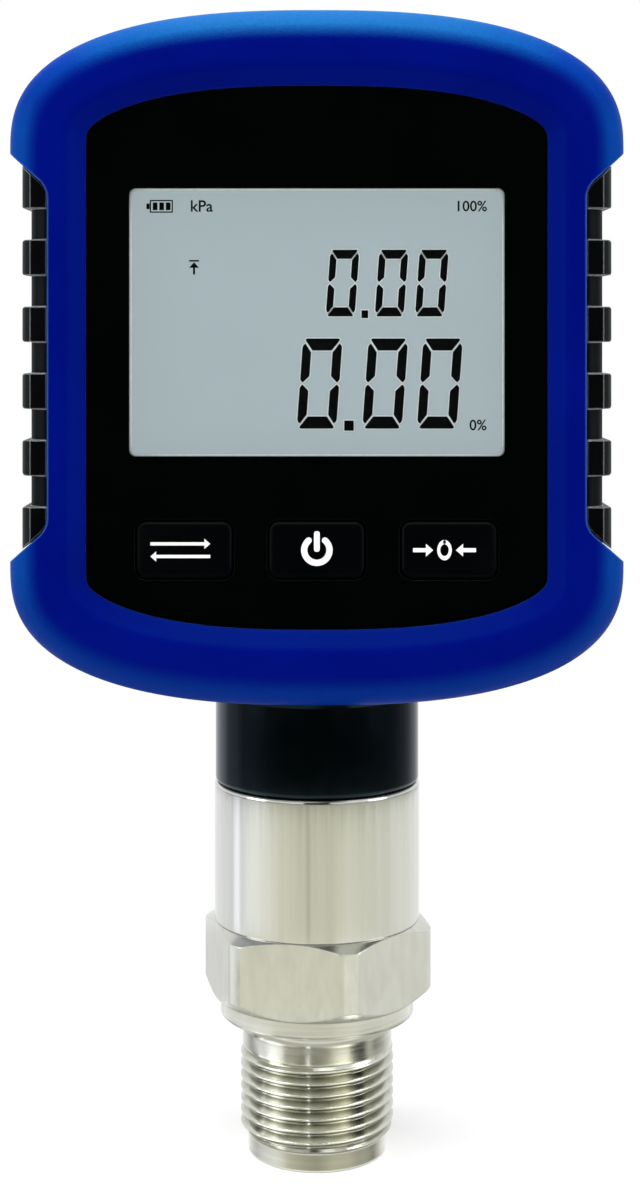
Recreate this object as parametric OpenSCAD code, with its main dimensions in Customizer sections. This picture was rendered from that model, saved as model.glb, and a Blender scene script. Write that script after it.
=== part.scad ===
// Digital pressure gauge: a rubber-booted instrument head on a stainless steel
// pressure port. Millimetres, +Z up along the port, front of the head towards -Y.
// The origin is the centre of the pressure port's mouth, on the spigot's end face.

/* [Process connection] */
// Major diameter of the process thread
thread_d = 20; // [18:0.5:22]
// Pitch of the process thread
thread_pitch = 1.5; // [1:0.25:2]
// Length of the threaded part
thread_l = 11.5; // [9:0.5:16]
// Diameter of the plain spigot below the thread
spigot_d = 18; // [16:0.5:18]
// Length of the plain spigot
spigot_l = 2.5; // [1.5:0.5:4]
// Bore of the pressure port
port_d = 5; // [3:0.5:6]
// Diameter of the plain band above the thread
band_d = 19.5; // [18:0.5:21]
// Length of the plain band above the thread
band_l = 4; // [3:0.5:6]
// Diameter of the stop disc under the hexagon
disc_d = 25.2; // [24:0.2:28]
// Thickness of the stop disc
disc_t = 2.4; // [1.6:0.2:4]
// Width of the hexagon across its flats
hex_af = 27; // [26:0.5:30]
// Height of the hexagon
hex_h = 10; // [9:0.5:14]
// Diameter that the corners of the hexagon are turned to
hex_round_d = 30; // [29:0.5:33]
// Turn of the hexagon about the port, in degrees
hex_turn = 16; // [0:1:59]

/* [Sensor body] */
// Outer diameter of the steel sensor tube
tube_d = 26.8; // [26:0.2:30]
// Length of the steel sensor tube
tube_l = 17.9; // [15:0.5:30]
// Wall of the steel sensor tube
tube_wall = 1.5; // [1:0.1:1.8]
// Diameter of the pressure capsule
capsule_d = 19; // [17:0.5:19]
// Height of the pressure capsule
capsule_h = 6.5; // [5:0.5:7]
// Outer diameter of the plastic neck collar
collar_d = 26.6; // [25:0.2:29]
// Length of the neck collar between the tube and the head
collar_l = 13.9; // [12:0.5:25]

/* [Head] */
// Width of the head over its rubber boot
head_w = 76.6; // [75:0.2:90]
// Height of the head over its rubber boot
head_h = 86.8; // [86:0.2:100]
// Height of the curved corners of the head
corner_h = 17.5; // [15:0.5:20]
// Squareness of the curved corners, where 2 is an ellipse
corner_power = 2.55; // [2.3:0.05:2.8]
// Depth of the plastic case, front face to back face
case_depth = 30.4; // [30:0.2:36]
// Wall of the plastic case
case_wall = 2.2; // [1.6:0.1:2.6]
// Radius of the case's front and back edges
case_edge_r = 3; // [2:0.25:3.5]

/* [Rubber boot] */
// Wall of the rubber boot
boot_wall = 2.3; // [1.8:0.1:3]
// Height of the boot's front lip above the case
crown_h = 2.6; // [1.8:0.1:4]
// Height of the boot's back lip above the case
back_crown_h = 1.6; // [1:0.1:3]
// Width of the boot's front lip, from its outer edge inwards
front_lip_w = 9.7; // [9:0.1:10.5]
// Width of the boot's back lip, from its outer edge inwards
back_lip_w = 6.2; // [5.8:0.1:6.4]
// Width of the boot's outer shoulder
shoulder_w = 3.2; // [2:0.1:4]
// Depth of the boot's outer shoulder, front to back
shoulder_depth = 5.6; // [4:0.1:7]
// Width of the bevel inside the boot's front lip
bevel_w = 2.4; // [1.5:0.1:3]
// Height of the side windows at the boot's outer face
side_window_h = 51; // [40:0.5:51.6]
// How far the side windows cut into the front lip
side_window_depth = 5.2; // [4.6:0.1:6]
// Slope of the side windows' ends, in degrees
side_window_slope = 41; // [20:1:50]

/* [Side grips] */
// Height of one grip tooth
tooth_h = 4.4; // [3:0.1:5]
// Spacing of the grip teeth
tooth_pitch = 8.3; // [7.5:0.1:9]
// Rise of the grip teeth above the case
tooth_rise = 1.1; // [0.6:0.1:1.6]

/* [Display and keys] */
// Thickness of the glossy front panel
panel_t = 1.5; // [1:0.1:2]
// Width of the black border beside the display
view_side = 5.35; // [4:0.05:8]
// Height of the black border above the display
view_top = 12.7; // [12:0.1:15]
// Height of the black border below the display, where the keys are
view_bottom = 21.5; // [21:0.1:24]
// Thickness of the clear display window
window_t = 1; // [0.6:0.1:1.2]
// Gap between two keys
key_space = 4.6; // [3.6:0.1:6]
// How far the outer keys sit inside the display's sides
key_indent = 0.95; // [0:0.05:2]
// Height of a key
key_h = 7; // [5:0.2:7.6]
// Height of the keys' centres above the panel's lower edge
key_up = 9.9; // [9.5:0.1:10.7]
// Height of the keys above the panel
key_proud = 0.4; // [0.2:0.1:0.8]
// Travel of a key
key_travel = 0.6; // [0.3:0.1:0.8]

/* [Battery compartment] */
// Diameter of one battery cell
cell_d = 10.5; // [10:0.1:10.6]
// Length of one battery cell
cell_l = 44.5; // [42:0.5:45]
// Thickness of the battery door
door_t = 2; // [1.6:0.1:2.4]
// Width of the ledge that the battery door seats on
door_ledge = 3; // [2.6:0.1:3.4]

/* [Hidden] */
$fn = 64;

// Clearances that every fit uses
fit_gap = 0.2;      // between pieces that are assembled and stay put
run_gap = 0.05;     // radial, between a shank and its threaded hole
key_gap = 0.25;     // around a key in its hole
cut_over = 1;       // overrun of every cut past the face it opens
curve_steps = 20;   // steps in one quarter of the head's outline
edge_steps = 4;     // steps round a rounded edge
fine_step = 0.1;    // the least step that keeps two faces apart

// Heights of the faces of the stack, from the spigot's end face upwards
z_thread = spigot_l;
z_band = z_thread + thread_l;
z_disc = z_band + band_l;
z_hex = z_disc + disc_t;
z_tube = z_hex + hex_h;
z_collar = z_tube + tube_l;
z_pad = z_collar + collar_l;

// Case and boot outlines are insets of the boot's outer outline
case_inset = boot_wall + fit_gap;
cavity_inset = case_inset + case_wall;
case_half_h = head_h / 2 - case_inset;
cavity_half_h = head_h / 2 - cavity_inset;
neck_pad_h = 0.6;   // flat pad under the case that the collar meets
z_head = z_pad + neck_pad_h + case_half_h;

// Depths in the head, from the front face backwards
y_front = -case_depth / 2;
y_back = case_depth / 2;
floor_t = 1.3;      // case front behind the panel
y_panel_back = y_front + panel_t;
y_floor_in = y_panel_back + floor_t;
board_standoff = 5.9;
board_t = 1.6;
y_board = y_floor_in + board_standoff;
y_board_back = y_board + board_t;
y_wall_in = y_back - case_wall;

// Display opening and keys, inside the panel that shows within the boot's lip
view_w = head_w - 2 * (front_lip_w + view_side);
view_h = head_h - 2 * front_lip_w - view_top - view_bottom;
view_rise = (view_bottom - view_top) / 2;
key_count = 3;
key_w = (view_w - 2 * key_indent - (key_count - 1) * key_space) / key_count;
key_pitch = key_w + key_space;
key_drop = head_h / 2 - front_lip_w - key_up;

// Front panel
panel_under = 1.3;      // panel hidden under the boot's lip
panel_inset = front_lip_w - panel_under;
view_r = 0.8;
key_r = 1.2;
key_bevel = 0.3;
flange_t = 1;
flange_w = 0.6;     // how far a key's flange reaches past its cap
y_flange = y_floor_in + fit_gap;

// Display stack
glass_side = 1.6;   // glass past the opening, left and right
glass_end = 2.4;    // glass past the opening, top and bottom
glass_t = 1.1;
film_t = 0.2;
ledge_l = 2;        // contact ledge of the front glass past the rear glass
frame_wall = 1;
glass_w = view_w + 2 * glass_side;
glass_h = view_h + 2 * glass_end;
y_film = y_floor_in + fine_step;
y_glass = y_film + film_t;
y_glass_rear = y_glass + glass_t;
y_film_rear = y_glass_rear + glass_t;
y_light = y_film_rear + film_t;
window_side = 1.5;  // clear window past the opening, all round

// Main board
board_gap = 0.8;
board_inset = cavity_inset + board_gap;
board_low_edge = 7.7;   // board's lower edge inside the case's wall
board_high_edge = 4.7;  // board's upper edge inside the case's wall
board_low = cavity_half_h - board_low_edge;
board_high = cavity_half_h - board_high_edge;
post_r = 2;
post_edge = 2.4;
post_x = head_w / 2 - board_inset - post_edge;
post_z = 18;
pilot_r = 0.75;
board_screw_r = 0.95;
board_screw_l = 5;
board_screw_head_r = 1.9;
board_screw_head_h = 1.3;

// Key switches
switch_w = 6;
switch_h = 3.5;
plunger_r = 1.7;
plunger_in = 0.6;       // plunger inside its switch at rest
plunger_depth = plunger_in + key_travel + fit_gap;

// Screws that join the case
case_screw_x = 21.5;
case_screw_edge = 7.1;  // case screws inside the case's end walls
case_screw_z = cavity_half_h - case_screw_edge;
case_boss_r = 3;
case_screw_r = 1.25;
case_screw_hole_r = 1.45;
case_screw_head_r = 2.3;
case_screw_head_h = 1.8;
case_sink_r = 2.5;
case_sink = 3.4;        // depth of the counterbore in the rear shell
insert_r = 1.95;
insert_l = 5;
insert_relief = 1.5;    // hole past the insert

// Seal between the shells
seal_w = 1;
seal_h = 0.8;
seal_inset = case_inset + (case_wall - seal_w) / 2;

// Battery compartment
cell_gap = 0.5;
cell_side = 0.4;
cell_pitch = cell_d + cell_gap;
cell_r = cell_d / 2;
cell_nub_r = 2.75;
cell_nub_h = 1;
well_wall = 1.4;
plate_t = 0.4;
spring_h = 4.2;
spring_wire_d = 0.6;
spring_turns = 3;
spring_base_r = 3.4;
spring_tip_r = 2.3;
spring_steps = 12;      // rings in one turn
spring_sides = 6;
well_w = 3 * cell_d + 2 * cell_gap + 2 * cell_side;
well_l = cell_l + spring_h + 2 * plate_t;
well_rise = 0.4;        // centre of the compartment above the head's centre
y_ledge = y_back - door_t;
cell_lid_gap = 0.8;
y_cell = y_ledge - cell_lid_gap - cell_r;
y_well = y_cell - cell_r - fit_gap;
door_w = well_w + 2 * door_ledge;
door_l = well_l + 2 * door_ledge;
door_r = 2.4;
ear_w = 9;
ear_edge = 0.8;         // door past its screw's counterbore
insert_wall = 0.8;      // shell between the seal's groove and an insert
door_frame_wall = 1.2;
door_frame_t = 2.4;     // material behind the ledge
door_screw_r = 1.25;
door_screw_hole_r = 1.45;
door_screw_head_r = 2.15;
door_screw_head_h = 1.1;
door_sink_r = 2.4;
door_sink = 1.2;
door_screw_l = 5;
door_boss_r = 3;
door_insert_l = 4;
groove_w = 1.2;
groove_depth = 0.9;
groove_in = 0.8;        // groove past the compartment's mouth
door_screw_z = well_l / 2 + groove_in + groove_w + insert_wall + insert_r;
ear_l = door_screw_z + door_sink_r + ear_edge - door_l / 2;
rib_count = 5;
rib_w = 16;
rib_t = 0.8;
rib_rise = 0.4;
rib_pitch = 2.2;
rib_edge_r = 0.3;

// Neck and sensor tube
stub_d = 16;
stub_bore_d = 11;
nut_af = 21;
nut_seat_h = 1.2;       // flat seat turned into the curved inner wall
nut_t = 4;
stub_end = 1;           // stub past its nut
collar_bore_d = 17;
collar_web = 5;         // solid web under the collar's seat
plug_l = 5;             // collar inside the tube
plug_gap = 0.1;
oring_d = 1.3;
oring_groove_w = 1.9;
groove_end = 1.5;       // collar's plug beyond the seal's groove
edge_cut = 0.4;         // turned chamfer on the tube and the collar
z_wall_in = z_head - cavity_half_h;

// Inside the pressure port
z_chamber = z_hex + 2;
shoulder_l = 3;         // ring of the connector inside the tube
z_shoulder = z_tube + shoulder_l;
capsule_gap = 0.05;
capsule_oring_d = 1.4;
capsule_groove_w = 2;
ring_h = 2.5;
ring_bore_d = 10;
spanner_hole_r = 0.8;
pin_count = 5;
pin_r = 0.3;
pin_circle_r = 3.4;
pin_past = 0.9;
comp_board_t = 1.2;
comp_board_gap = 0.4;
diaphragm_share = 0.84; // diaphragm's width against the capsule's
diaphragm_t = 0.15;
diaphragm_recess = 0.6;
wave_count = 4;
wave_h = 0.2;

// Thread form, as shares of the pitch and of the metric profile
depth_share = 0.6134;
flank_share = 0.3542;
crest_share = 0.125;
thread_r = thread_d / 2;
root_r = thread_r - depth_share * thread_pitch;
thread_lead = 1;
thread_count = floor((thread_l - thread_lead) / thread_pitch);

// Colours
blue_rubber = [0.02, 0.09, 0.55];
black_plastic = [0.06, 0.06, 0.065];
gloss_black = [0.02, 0.02, 0.022];
steel = [0.78, 0.78, 0.75];
brass = [0.8, 0.63, 0.3];
board_green = [0.06, 0.34, 0.16];
chip_grey = [0.13, 0.13, 0.14];
lcd_grey = [0.65, 0.71, 0.73];
seal_grey = [0.18, 0.18, 0.19];
cream = [0.9, 0.89, 0.84];
wire_red = [0.55, 0.1, 0.1];
cell_gold = [0.75, 0.5, 0.15];
zebra_pink = [0.75, 0.55, 0.6];
clear = [0.85, 0.9, 0.92, 0.35];

// ---- shapes ----
// One quarter of the outline of the head: a superellipse corner on a straight side
function corner_point(t) = [
    head_w / 2 * pow(cos(t), 2 / corner_power),
    corner_h * pow(sin(t), 2 / corner_power)
];
function corner_normal(t) =
    let (p = corner_point(t),
         g = [pow(2 * p[0] / head_w, corner_power - 1) * 2 / head_w,
              pow(p[1] / corner_h, corner_power - 1) / corner_h])
    g / norm(g);
function inset_corner(t, inset) = corner_point(t) - inset * corner_normal(t);
function quarter(inset) = [
    for (i = [0 : curve_steps])
        inset_corner(90 * i / curve_steps, inset) + [0, head_h / 2 - corner_h]
];
function reversed(list) = [for (i = [len(list) - 1 : -1 : 0]) list[i]];
function but_first(list) = [for (i = [1 : len(list) - 1]) list[i]];

// Outline of the head, moved inwards by inset, about the head's centre
function outline(inset) =
    let (q = quarter(inset),
         left_top = [for (p = but_first(reversed(q))) [-p[0], p[1]]],
         left_low = [for (p = q) [-p[0], -p[1]]],
         right_low = [for (p = but_first(reversed(q))) [p[0], -p[1]]])
    concat(q, left_top, left_low, right_low);

function rings(profile) = [
    for (s = profile) for (p = outline(s[0])) [p[0], s[1], p[1] + z_head]
];
function side_faces(n, m, closed) = [
    for (k = [0 : closed ? m - 1 : m - 2])
        for (i = [0 : n - 1])
            let (a = k * n + i, b = k * n + (i + 1) % n,
                 c = ((k + 1) % m) * n + (i + 1) % n, d = ((k + 1) % m) * n + i)
            each [[a, b, c], [a, c, d]]
];

// A solid bounded by outlines of the head at the insets and depths of a profile
module puck(profile) {
    n = len(outline(0));
    m = len(profile);
    polyhedron(
        points = rings(profile),
        faces = concat(side_faces(n, m, false),
                       [[for (i = [n - 1 : -1 : 0]) i]],
                       [[for (i = [0 : n - 1]) (m - 1) * n + i]])
    );
}

// A ring round the head whose section is a closed profile of insets and depths
module band(profile) {
    n = len(outline(0));
    m = len(profile);
    polyhedron(points = rings(profile), faces = side_faces(n, m, true));
}

// Draws children, a shape in X and Z, from depth y0 to depth y1
module slab(y0, y1) {
    translate([0, y1, 0]) rotate([90, 0, 0]) linear_extrude(height = y1 - y0) children();
}

module head_slab(inset, y0, y1) {
    translate([0, 0, z_head]) slab(y0, y1) polygon(outline(inset));
}

module rounded(w, h, r) {
    square([w - 2 * r, h], center = true);
    square([w, h - 2 * r], center = true);
    for (x = [-1, 1]) for (y = [-1, 1])
        translate([x * (w / 2 - r), y * (h / 2 - r)]) circle(r = r);
}

// A box centred in X and Z, from depth y0 to depth y1
module plate(w, h, y0, y1) {
    translate([-w / 2, y0, -h / 2]) cube([w, y1 - y0, h]);
}

// A cylinder along Y, from depth y0 to depth y1
module rod_y(r, y0, y1, fn = 48) {
    translate([0, y1, 0]) rotate([90, 0, 0]) cylinder(r = r, h = y1 - y0, $fn = fn);
}

module at_case_screws() {
    for (x = [-1, 1]) for (z = [-1, 1])
        translate([x * case_screw_x, 0, z_head + z * case_screw_z]) children();
}

module at_board_posts() {
    for (x = [-1, 1]) for (z = [-1, 1])
        translate([x * post_x, 0, z_head + z * post_z]) children();
}

module at_view() {
    translate([0, 0, z_head + view_rise]) children();
}

module at_key(i) {
    translate([i * key_pitch, 0, z_head - key_drop]) children();
}

module at_well() {
    translate([0, 0, z_head + well_rise]) children();
}

module at_door_screws() {
    for (z = [-1, 1]) translate([0, 0, z_head + well_rise + z * door_screw_z]) children();
}

// A tube along a list of points, as one closed solid of triangles
function unit(v) = v / norm(v);
function tangent(p, i) = unit(p[min(i + 1, len(p) - 1)] - p[max(i - 1, 0)]);
function flat_to(v, t) = unit(v - (v * t) * t);
function normals(p, start, i = 0, done = []) =
    i == len(p) ? done
    : normals(p, start, i + 1,
              concat(done, [flat_to(i == 0 ? start : done[i - 1], tangent(p, i))]));
function tube_points(p, r, sides, start) =
    let (ns = normals(p, start))
    [for (i = [0 : len(p) - 1]) for (k = [0 : sides - 1])
        let (a = 360 * k / sides)
        p[i] + r * (cos(a) * ns[i] + sin(a) * cross(tangent(p, i), ns[i]))];
function tube_faces(m, n) = concat(
    [for (k = [0 : m - 2]) for (i = [0 : n - 1])
        let (a = k * n + i, b = k * n + (i + 1) % n)
        each [[a, a + n, b + n], [a, b + n, b]]],
    [for (i = [1 : n - 2]) [0, i, i + 1]],
    [for (i = [1 : n - 2]) [(m - 1) * n, (m - 1) * n + i + 1, (m - 1) * n + i]]
);
module tube(p, r, sides = 8, start = [1, 0, 0]) {
    polyhedron(points = tube_points(p, r, sides, start), faces = tube_faces(len(p), sides));
}

// A smooth curve through hand-chosen points, Catmull-Rom between each pair
function blend_point(a, b, c, d, t) =
    0.5 * (2 * b + (c - a) * t + (2 * a - 5 * b + 4 * c - d) * pow(t, 2)
           + (3 * b - a - 3 * c + d) * pow(t, 3));
function smooth(p, steps) = concat(
    [for (i = [0 : len(p) - 2]) for (k = [0 : steps - 1])
        blend_point(p[max(i - 1, 0)], p[i], p[i + 1], p[min(i + 2, len(p) - 1)], k / steps)],
    [p[len(p) - 1]]
);
function but_ends(p) = [for (i = [1 : len(p) - 2]) p[i]];

// A lead's path: a smooth curve whose first and last runs stay straight
function lead(p, steps) = concat([p[0]], smooth(but_ends(p), steps), [p[len(p) - 1]]);

// Points of an arc in insets and depths, from angle a0 to angle a1
function edge_arc(centre, r, a0, a1) = [
    for (i = [0 : edge_steps])
        let (a = a0 + (a1 - a0) * i / edge_steps) centre + r * [cos(a), sin(a)]
];

// ---- rubber boot ----
y_boot_front = y_front - fit_gap - crown_h;
y_boot_back = y_back + fit_gap + back_crown_h;
ridge_share = 0.88;     // height of the shoulder's ridge against the lip's height
lip_tip = 0.5;          // blunt tip of the front lip

function boot_profile() =
    let (inner_r = case_edge_r + fit_gap,
         yf = y_front + case_edge_r,
         yb = y_back - case_edge_r,
         sf = y_boot_front + shoulder_depth,
         sb = y_boot_back - shoulder_depth,
         ridge = (1 - ridge_share) * crown_h)
    concat(
        [[front_lip_w, y_front - fit_gap],
         [front_lip_w, y_front - fit_gap - lip_tip / 2],
         [front_lip_w - lip_tip / 2, y_front - fit_gap - lip_tip],
         [front_lip_w - bevel_w + lip_tip / 2, y_boot_front + lip_tip / 2],
         [front_lip_w - bevel_w - lip_tip / 2, y_boot_front],
         [(front_lip_w - bevel_w + shoulder_w) / 2, y_boot_front + ridge / 4],
         [shoulder_w + lip_tip, y_boot_front + ridge]],
        [for (i = [1 : edge_steps + 1])
            let (a = 90 * i / (edge_steps + 1))
            [shoulder_w * (1 - sin(a)), sf - (shoulder_depth - 2 * ridge) * cos(a)]],
        [for (i = [0 : edge_steps])
            let (a = 90 * i / (edge_steps + 1))
            [shoulder_w * (1 - cos(a)), sb + shoulder_depth * sin(a)]],
        [[shoulder_w, y_boot_back],
         [back_lip_w - lip_tip, y_boot_back],
         [back_lip_w, y_boot_back - lip_tip],
         [back_lip_w, y_back + fit_gap]],
        edge_arc([case_inset + case_edge_r, yb], inner_r, 90, 180),
        edge_arc([case_inset + case_edge_r, yf], inner_r, 180, 270)
    );

// Outline of one side window, cut straight through from front to back
window_fillet = 3;
module side_window(gap) {
    edge_x = head_w / 2 - side_window_depth + gap;
    out_x = head_w / 2 + cut_over;
    low = side_window_h / 2 - side_window_depth * tan(side_window_slope) - gap;
    high = side_window_h / 2 + cut_over * tan(side_window_slope) - gap;
    reach = window_fillet * tan((90 - side_window_slope) / 2);
    for (side = [-1, 1]) scale([side, 1]) difference() {
        polygon([[edge_x, -low], [out_x, -high], [out_x, high], [edge_x, low]]);
        for (end = [-1, 1]) scale([1, end]) difference() {
            polygon([[edge_x - gap, low + window_fillet], [edge_x - gap, low - reach],
                     [edge_x, low - reach],
                     [edge_x + reach * cos(side_window_slope),
                      low + reach * sin(side_window_slope)],
                     [edge_x, low + window_fillet]]);
            translate([edge_x + window_fillet, low - reach])
                circle(r = window_fillet, $fn = 48);
        }
    }
}

module neck_bore(r) {
    translate([0, 0, z_collar]) cylinder(r = r, h = z_head - z_collar, $fn = 96);
}

module rubber_boot() {
    color(blue_rubber) difference() {
        band(boot_profile());
        translate([0, 0, z_head]) slab(y_boot_front - cut_over, y_boot_back + cut_over)
            side_window(0);
        neck_bore(collar_d / 2 + fit_gap);
    }
}

// ---- case ----
function shell_edge(y_face, turn) =
    let (c = [case_inset + case_edge_r, y_face + turn * case_edge_r])
    [for (i = [0 : edge_steps])
        let (a = 90 * i / edge_steps) c - case_edge_r * [sin(a), turn * cos(a)]];

// Section of the grip teeth in X and Y, from the case's front edge to the seam
function tooth_section(y_face, turn) =
    let (r = case_edge_r + tooth_rise,
         x = head_w / 2 - case_inset - case_edge_r,
         y = y_face + turn * case_edge_r)
    concat([[x, 0]],
           [for (i = [1 : 2 * edge_steps])
               let (a = 90 * i / (2 * edge_steps))
               [x + r * sin(a), y - turn * r * cos(a)]],
           [[x + r, 0]]);

tooth_r = 0.6;
teeth = 2;              // whole teeth above and below the middle
end_tooth = (2 * teeth + 1) * tooth_pitch / 2;
module tooth_rows() {
    intersection() {
        side_window(fit_gap);
        for (side = [-1, 1]) for (end = [-1, 1]) scale([side, end]) {
            for (i = [0 : teeth - 1])
                translate([head_w / 2 - case_inset, (2 * i + 1) * tooth_pitch / 2])
                    rounded(2 * tooth_rise, tooth_h, tooth_r);
            translate([head_w / 2 - case_inset, end_tooth + side_window_h / 2])
                rounded(2 * tooth_rise, side_window_h + tooth_h, tooth_r);
            translate([head_w / 2 - case_inset - side_window_depth, 0]) {
                for (i = [0 : teeth - 1])
                    translate([0, (2 * i + 1) * tooth_pitch / 2 - tooth_h / 2])
                        square([side_window_depth, tooth_h]);
                translate([0, end_tooth - tooth_h / 2])
                    square([side_window_depth, side_window_h]);
            }
        }
    }
}

module grip_teeth(y_face, turn) {
    intersection() {
        translate([0, 0, z_head]) slab(min(y_face, 0), max(y_face, 0)) tooth_rows();
        translate([0, 0, z_head - side_window_h / 2])
            linear_extrude(height = side_window_h)
                for (side = [-1, 1]) scale([side, 1])
                    polygon(tooth_section(y_face, turn));
    }
}

module neck_pad() {
    translate([0, 0, z_pad])
        cylinder(r = collar_d / 2, h = neck_pad_h + case_wall, $fn = 96);
}

module neck_hole() {
    translate([0, 0, z_pad - cut_over])
        cylinder(r = stub_d / 2 + fit_gap / 2, h = z_wall_in - z_pad + 2 * cut_over);
}

module nut_seat() {
    translate([0, 0, z_wall_in])
        cylinder(r = nut_af / 2 / cos(30) + fit_gap, h = nut_seat_h, $fn = 96);
}

module half_space(front) {
    reach = head_w + head_h;
    translate([-reach, front ? -reach : 0, 0]) cube([2 * reach, reach, z_head + head_h]);
}

module key_hole() {
    slab(y_front - cut_over, y_floor_in + cut_over)
        rounded(key_w + 2 * key_gap, key_h + 2 * key_gap, key_r + key_gap);
}

module front_shell() {
    color(black_plastic) difference() {
        union() {
            difference() {
                union() {
                    puck(concat(shell_edge(y_front, 1), [[case_inset, 0]]));
                    grip_teeth(y_front, 1);
                    intersection() { neck_pad(); half_space(true); }
                }
                head_slab(cavity_inset, y_floor_in, cut_over);
                head_slab(panel_inset - fit_gap, y_front - cut_over, y_panel_back);
            }
            at_case_screws() rod_y(case_boss_r, y_floor_in - floor_t / 2, 0);
            at_board_posts() rod_y(post_r, y_floor_in - floor_t / 2, y_board);
        }
        at_view() slab(y_front, y_floor_in + cut_over)
            rounded(view_w + 2 * (window_side + fit_gap), view_h + 2 * (window_side + fit_gap),
                    view_r + window_side);
        for (i = [-1 : 1]) at_key(i) key_hole();
        at_case_screws() rod_y(insert_r, -insert_l, cut_over);
        at_case_screws() rod_y(case_screw_hole_r, -insert_l - insert_relief, 0);
        at_board_posts() rod_y(pilot_r, y_board + board_t - board_screw_l - fit_gap,
                               y_board + cut_over);
        neck_hole();
        nut_seat();
    }
}

module door_shape(grow) {
    rounded(door_w + 2 * grow, door_l + 2 * grow, door_r + grow);
    rounded(ear_w + 2 * grow, door_l + 2 * ear_l + 2 * grow, door_r + grow);
}

module well_slab(grow, y0, y1) {
    at_well() plate(well_w + 2 * grow, well_l + 2 * grow, y0, y1);
}

module groove_ring(y0, y1) {
    at_well() difference() {
        plate(well_w + 2 * (groove_in + groove_w), well_l + 2 * (groove_in + groove_w), y0, y1);
        plate(well_w + 2 * groove_in, well_l + 2 * groove_in, y0 - cut_over, y1 + cut_over);
    }
}

lead_hole_r = 0.8;
lead_hole_rise = 1.4;
lead_hole_y = y_well + lead_hole_rise;
module lead_holes() {
    for (end = [-1, 1])
        translate([-end * cell_pitch - end * cell_r / 2, lead_hole_y,
                   z_head + well_rise + end * (well_l / 2 - cut_over)])
            scale([1, 1, end]) cylinder(r = lead_hole_r, h = well_wall + 2 * cut_over, $fn = 24);
}

module rear_shell() {
    color(black_plastic) difference() {
        union() {
            difference() {
                union() {
                    puck(reversed(concat(shell_edge(y_back, -1), [[case_inset, 0]])));
                    grip_teeth(y_back, -1);
                    intersection() { neck_pad(); half_space(false); }
                }
                head_slab(cavity_inset, -cut_over, y_wall_in);
            }
            at_case_screws() rod_y(case_boss_r, 0, y_wall_in + case_wall / 2);
            at_well() slab(y_ledge - door_frame_t, y_wall_in + case_wall / 2)
                door_shape(door_frame_wall);
            well_slab(well_wall, y_well - well_wall, y_ledge);
            at_door_screws() rod_y(door_boss_r, y_ledge - door_insert_l - 2 * insert_relief,
                                   y_ledge - door_frame_t / 2);
        }
        at_well() slab(y_ledge, y_back + cut_over) door_shape(fit_gap);
        well_slab(0, y_well, y_back + cut_over);
        groove_ring(y_ledge - groove_depth, y_ledge + cut_over);
        at_door_screws() rod_y(insert_r, y_ledge - door_insert_l, y_ledge + cut_over);
        at_door_screws() rod_y(door_screw_hole_r, y_ledge - door_insert_l - insert_relief,
                               y_ledge);
        at_case_screws() rod_y(case_screw_hole_r, -cut_over, y_back + cut_over);
        at_case_screws() rod_y(case_sink_r, y_back - case_sink, y_back + cut_over);
        difference() {
            head_slab(seal_inset, -cut_over, seal_h);
            head_slab(seal_inset + seal_w, -2 * cut_over, seal_h + cut_over);
        }
        lead_holes();
        neck_hole();
        nut_seat();
    }
}

module shell_gasket() {
    color(seal_grey) difference() {
        head_slab(seal_inset, 0, seal_h);
        head_slab(seal_inset + seal_w, -cut_over, seal_h + cut_over);
        translate([0, 0, z_pad - cut_over])
            cylinder(r = stub_d / 2 + seal_w, h = z_head - z_pad);
    }
}

// ---- display and keys ----
module front_panel() {
    color(gloss_black) difference() {
        head_slab(panel_inset, y_front, y_panel_back);
        at_view() slab(y_front - cut_over, y_panel_back + cut_over)
            rounded(view_w, view_h, view_r);
        for (i = [-1 : 1]) at_key(i) key_hole();
    }
}

module display_window() {
    color(clear) at_view() slab(y_panel_back, y_panel_back + window_t)
        rounded(view_w + 2 * window_side, view_h + 2 * window_side, view_r + window_side);
}

// Section of a key across its width or height, its front edges bevelled
module key_section(w, y_face) {
    half = w / 2;
    y_end = y_flange + flange_t;
    polygon([[-half, y_end], [-half, y_face + key_bevel], [-half + key_bevel, y_face],
             [half - key_bevel, y_face], [half, y_face + key_bevel], [half, y_end]]);
}

module key_cap(i) {
    y_face = y_front - key_proud;
    color(gloss_black) at_key(i) {
        intersection() {
            slab(y_face, y_flange + flange_t) rounded(key_w, key_h, key_r);
            linear_extrude(height = key_h, center = true) key_section(key_w, y_face);
            rotate([0, -90, 0])
                linear_extrude(height = key_w, center = true) key_section(key_h, y_face);
        }
        slab(y_flange, y_flange + flange_t)
            rounded(key_w + 2 * flange_w, key_h + 2 * flange_w, key_r);
    }
}
module key_left() key_cap(-1);
module key_power() key_cap(0);
module key_right() key_cap(1);

module plunger(i) {
    color(cream) at_key(i)
        rod_y(plunger_r, y_flange + flange_t, y_board - switch_h + plunger_in);
}
module plunger_left() plunger(-1);
module plunger_power() plunger(0);
module plunger_right() plunger(1);

module tact_switches() {
    color(chip_grey) for (i = [-1 : 1]) at_key(i) difference() {
        plate(switch_w, switch_w, y_board - switch_h, y_board);
        rod_y(plunger_r + fine_step, y_board - switch_h - cut_over,
              y_board - switch_h + plunger_depth);
    }
}

module lcd_front_glass() {
    color(lcd_grey) at_view() plate(glass_w, glass_h, y_glass, y_glass_rear);
}

module lcd_rear_glass() {
    color(lcd_grey) at_view()
        plate(glass_w, glass_h - 2 * ledge_l, y_glass_rear, y_film_rear);
}

module lcd_polarizers() {
    color(lcd_grey) at_view() {
        plate(glass_w, glass_h, y_film, y_glass);
        plate(glass_w, glass_h - 2 * ledge_l, y_film_rear, y_light);
    }
}

module lcd_backlight() {
    color(cream) at_view()
        plate(glass_w, glass_h - 2 * ledge_l, y_light, y_board - fine_step);
}

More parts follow.
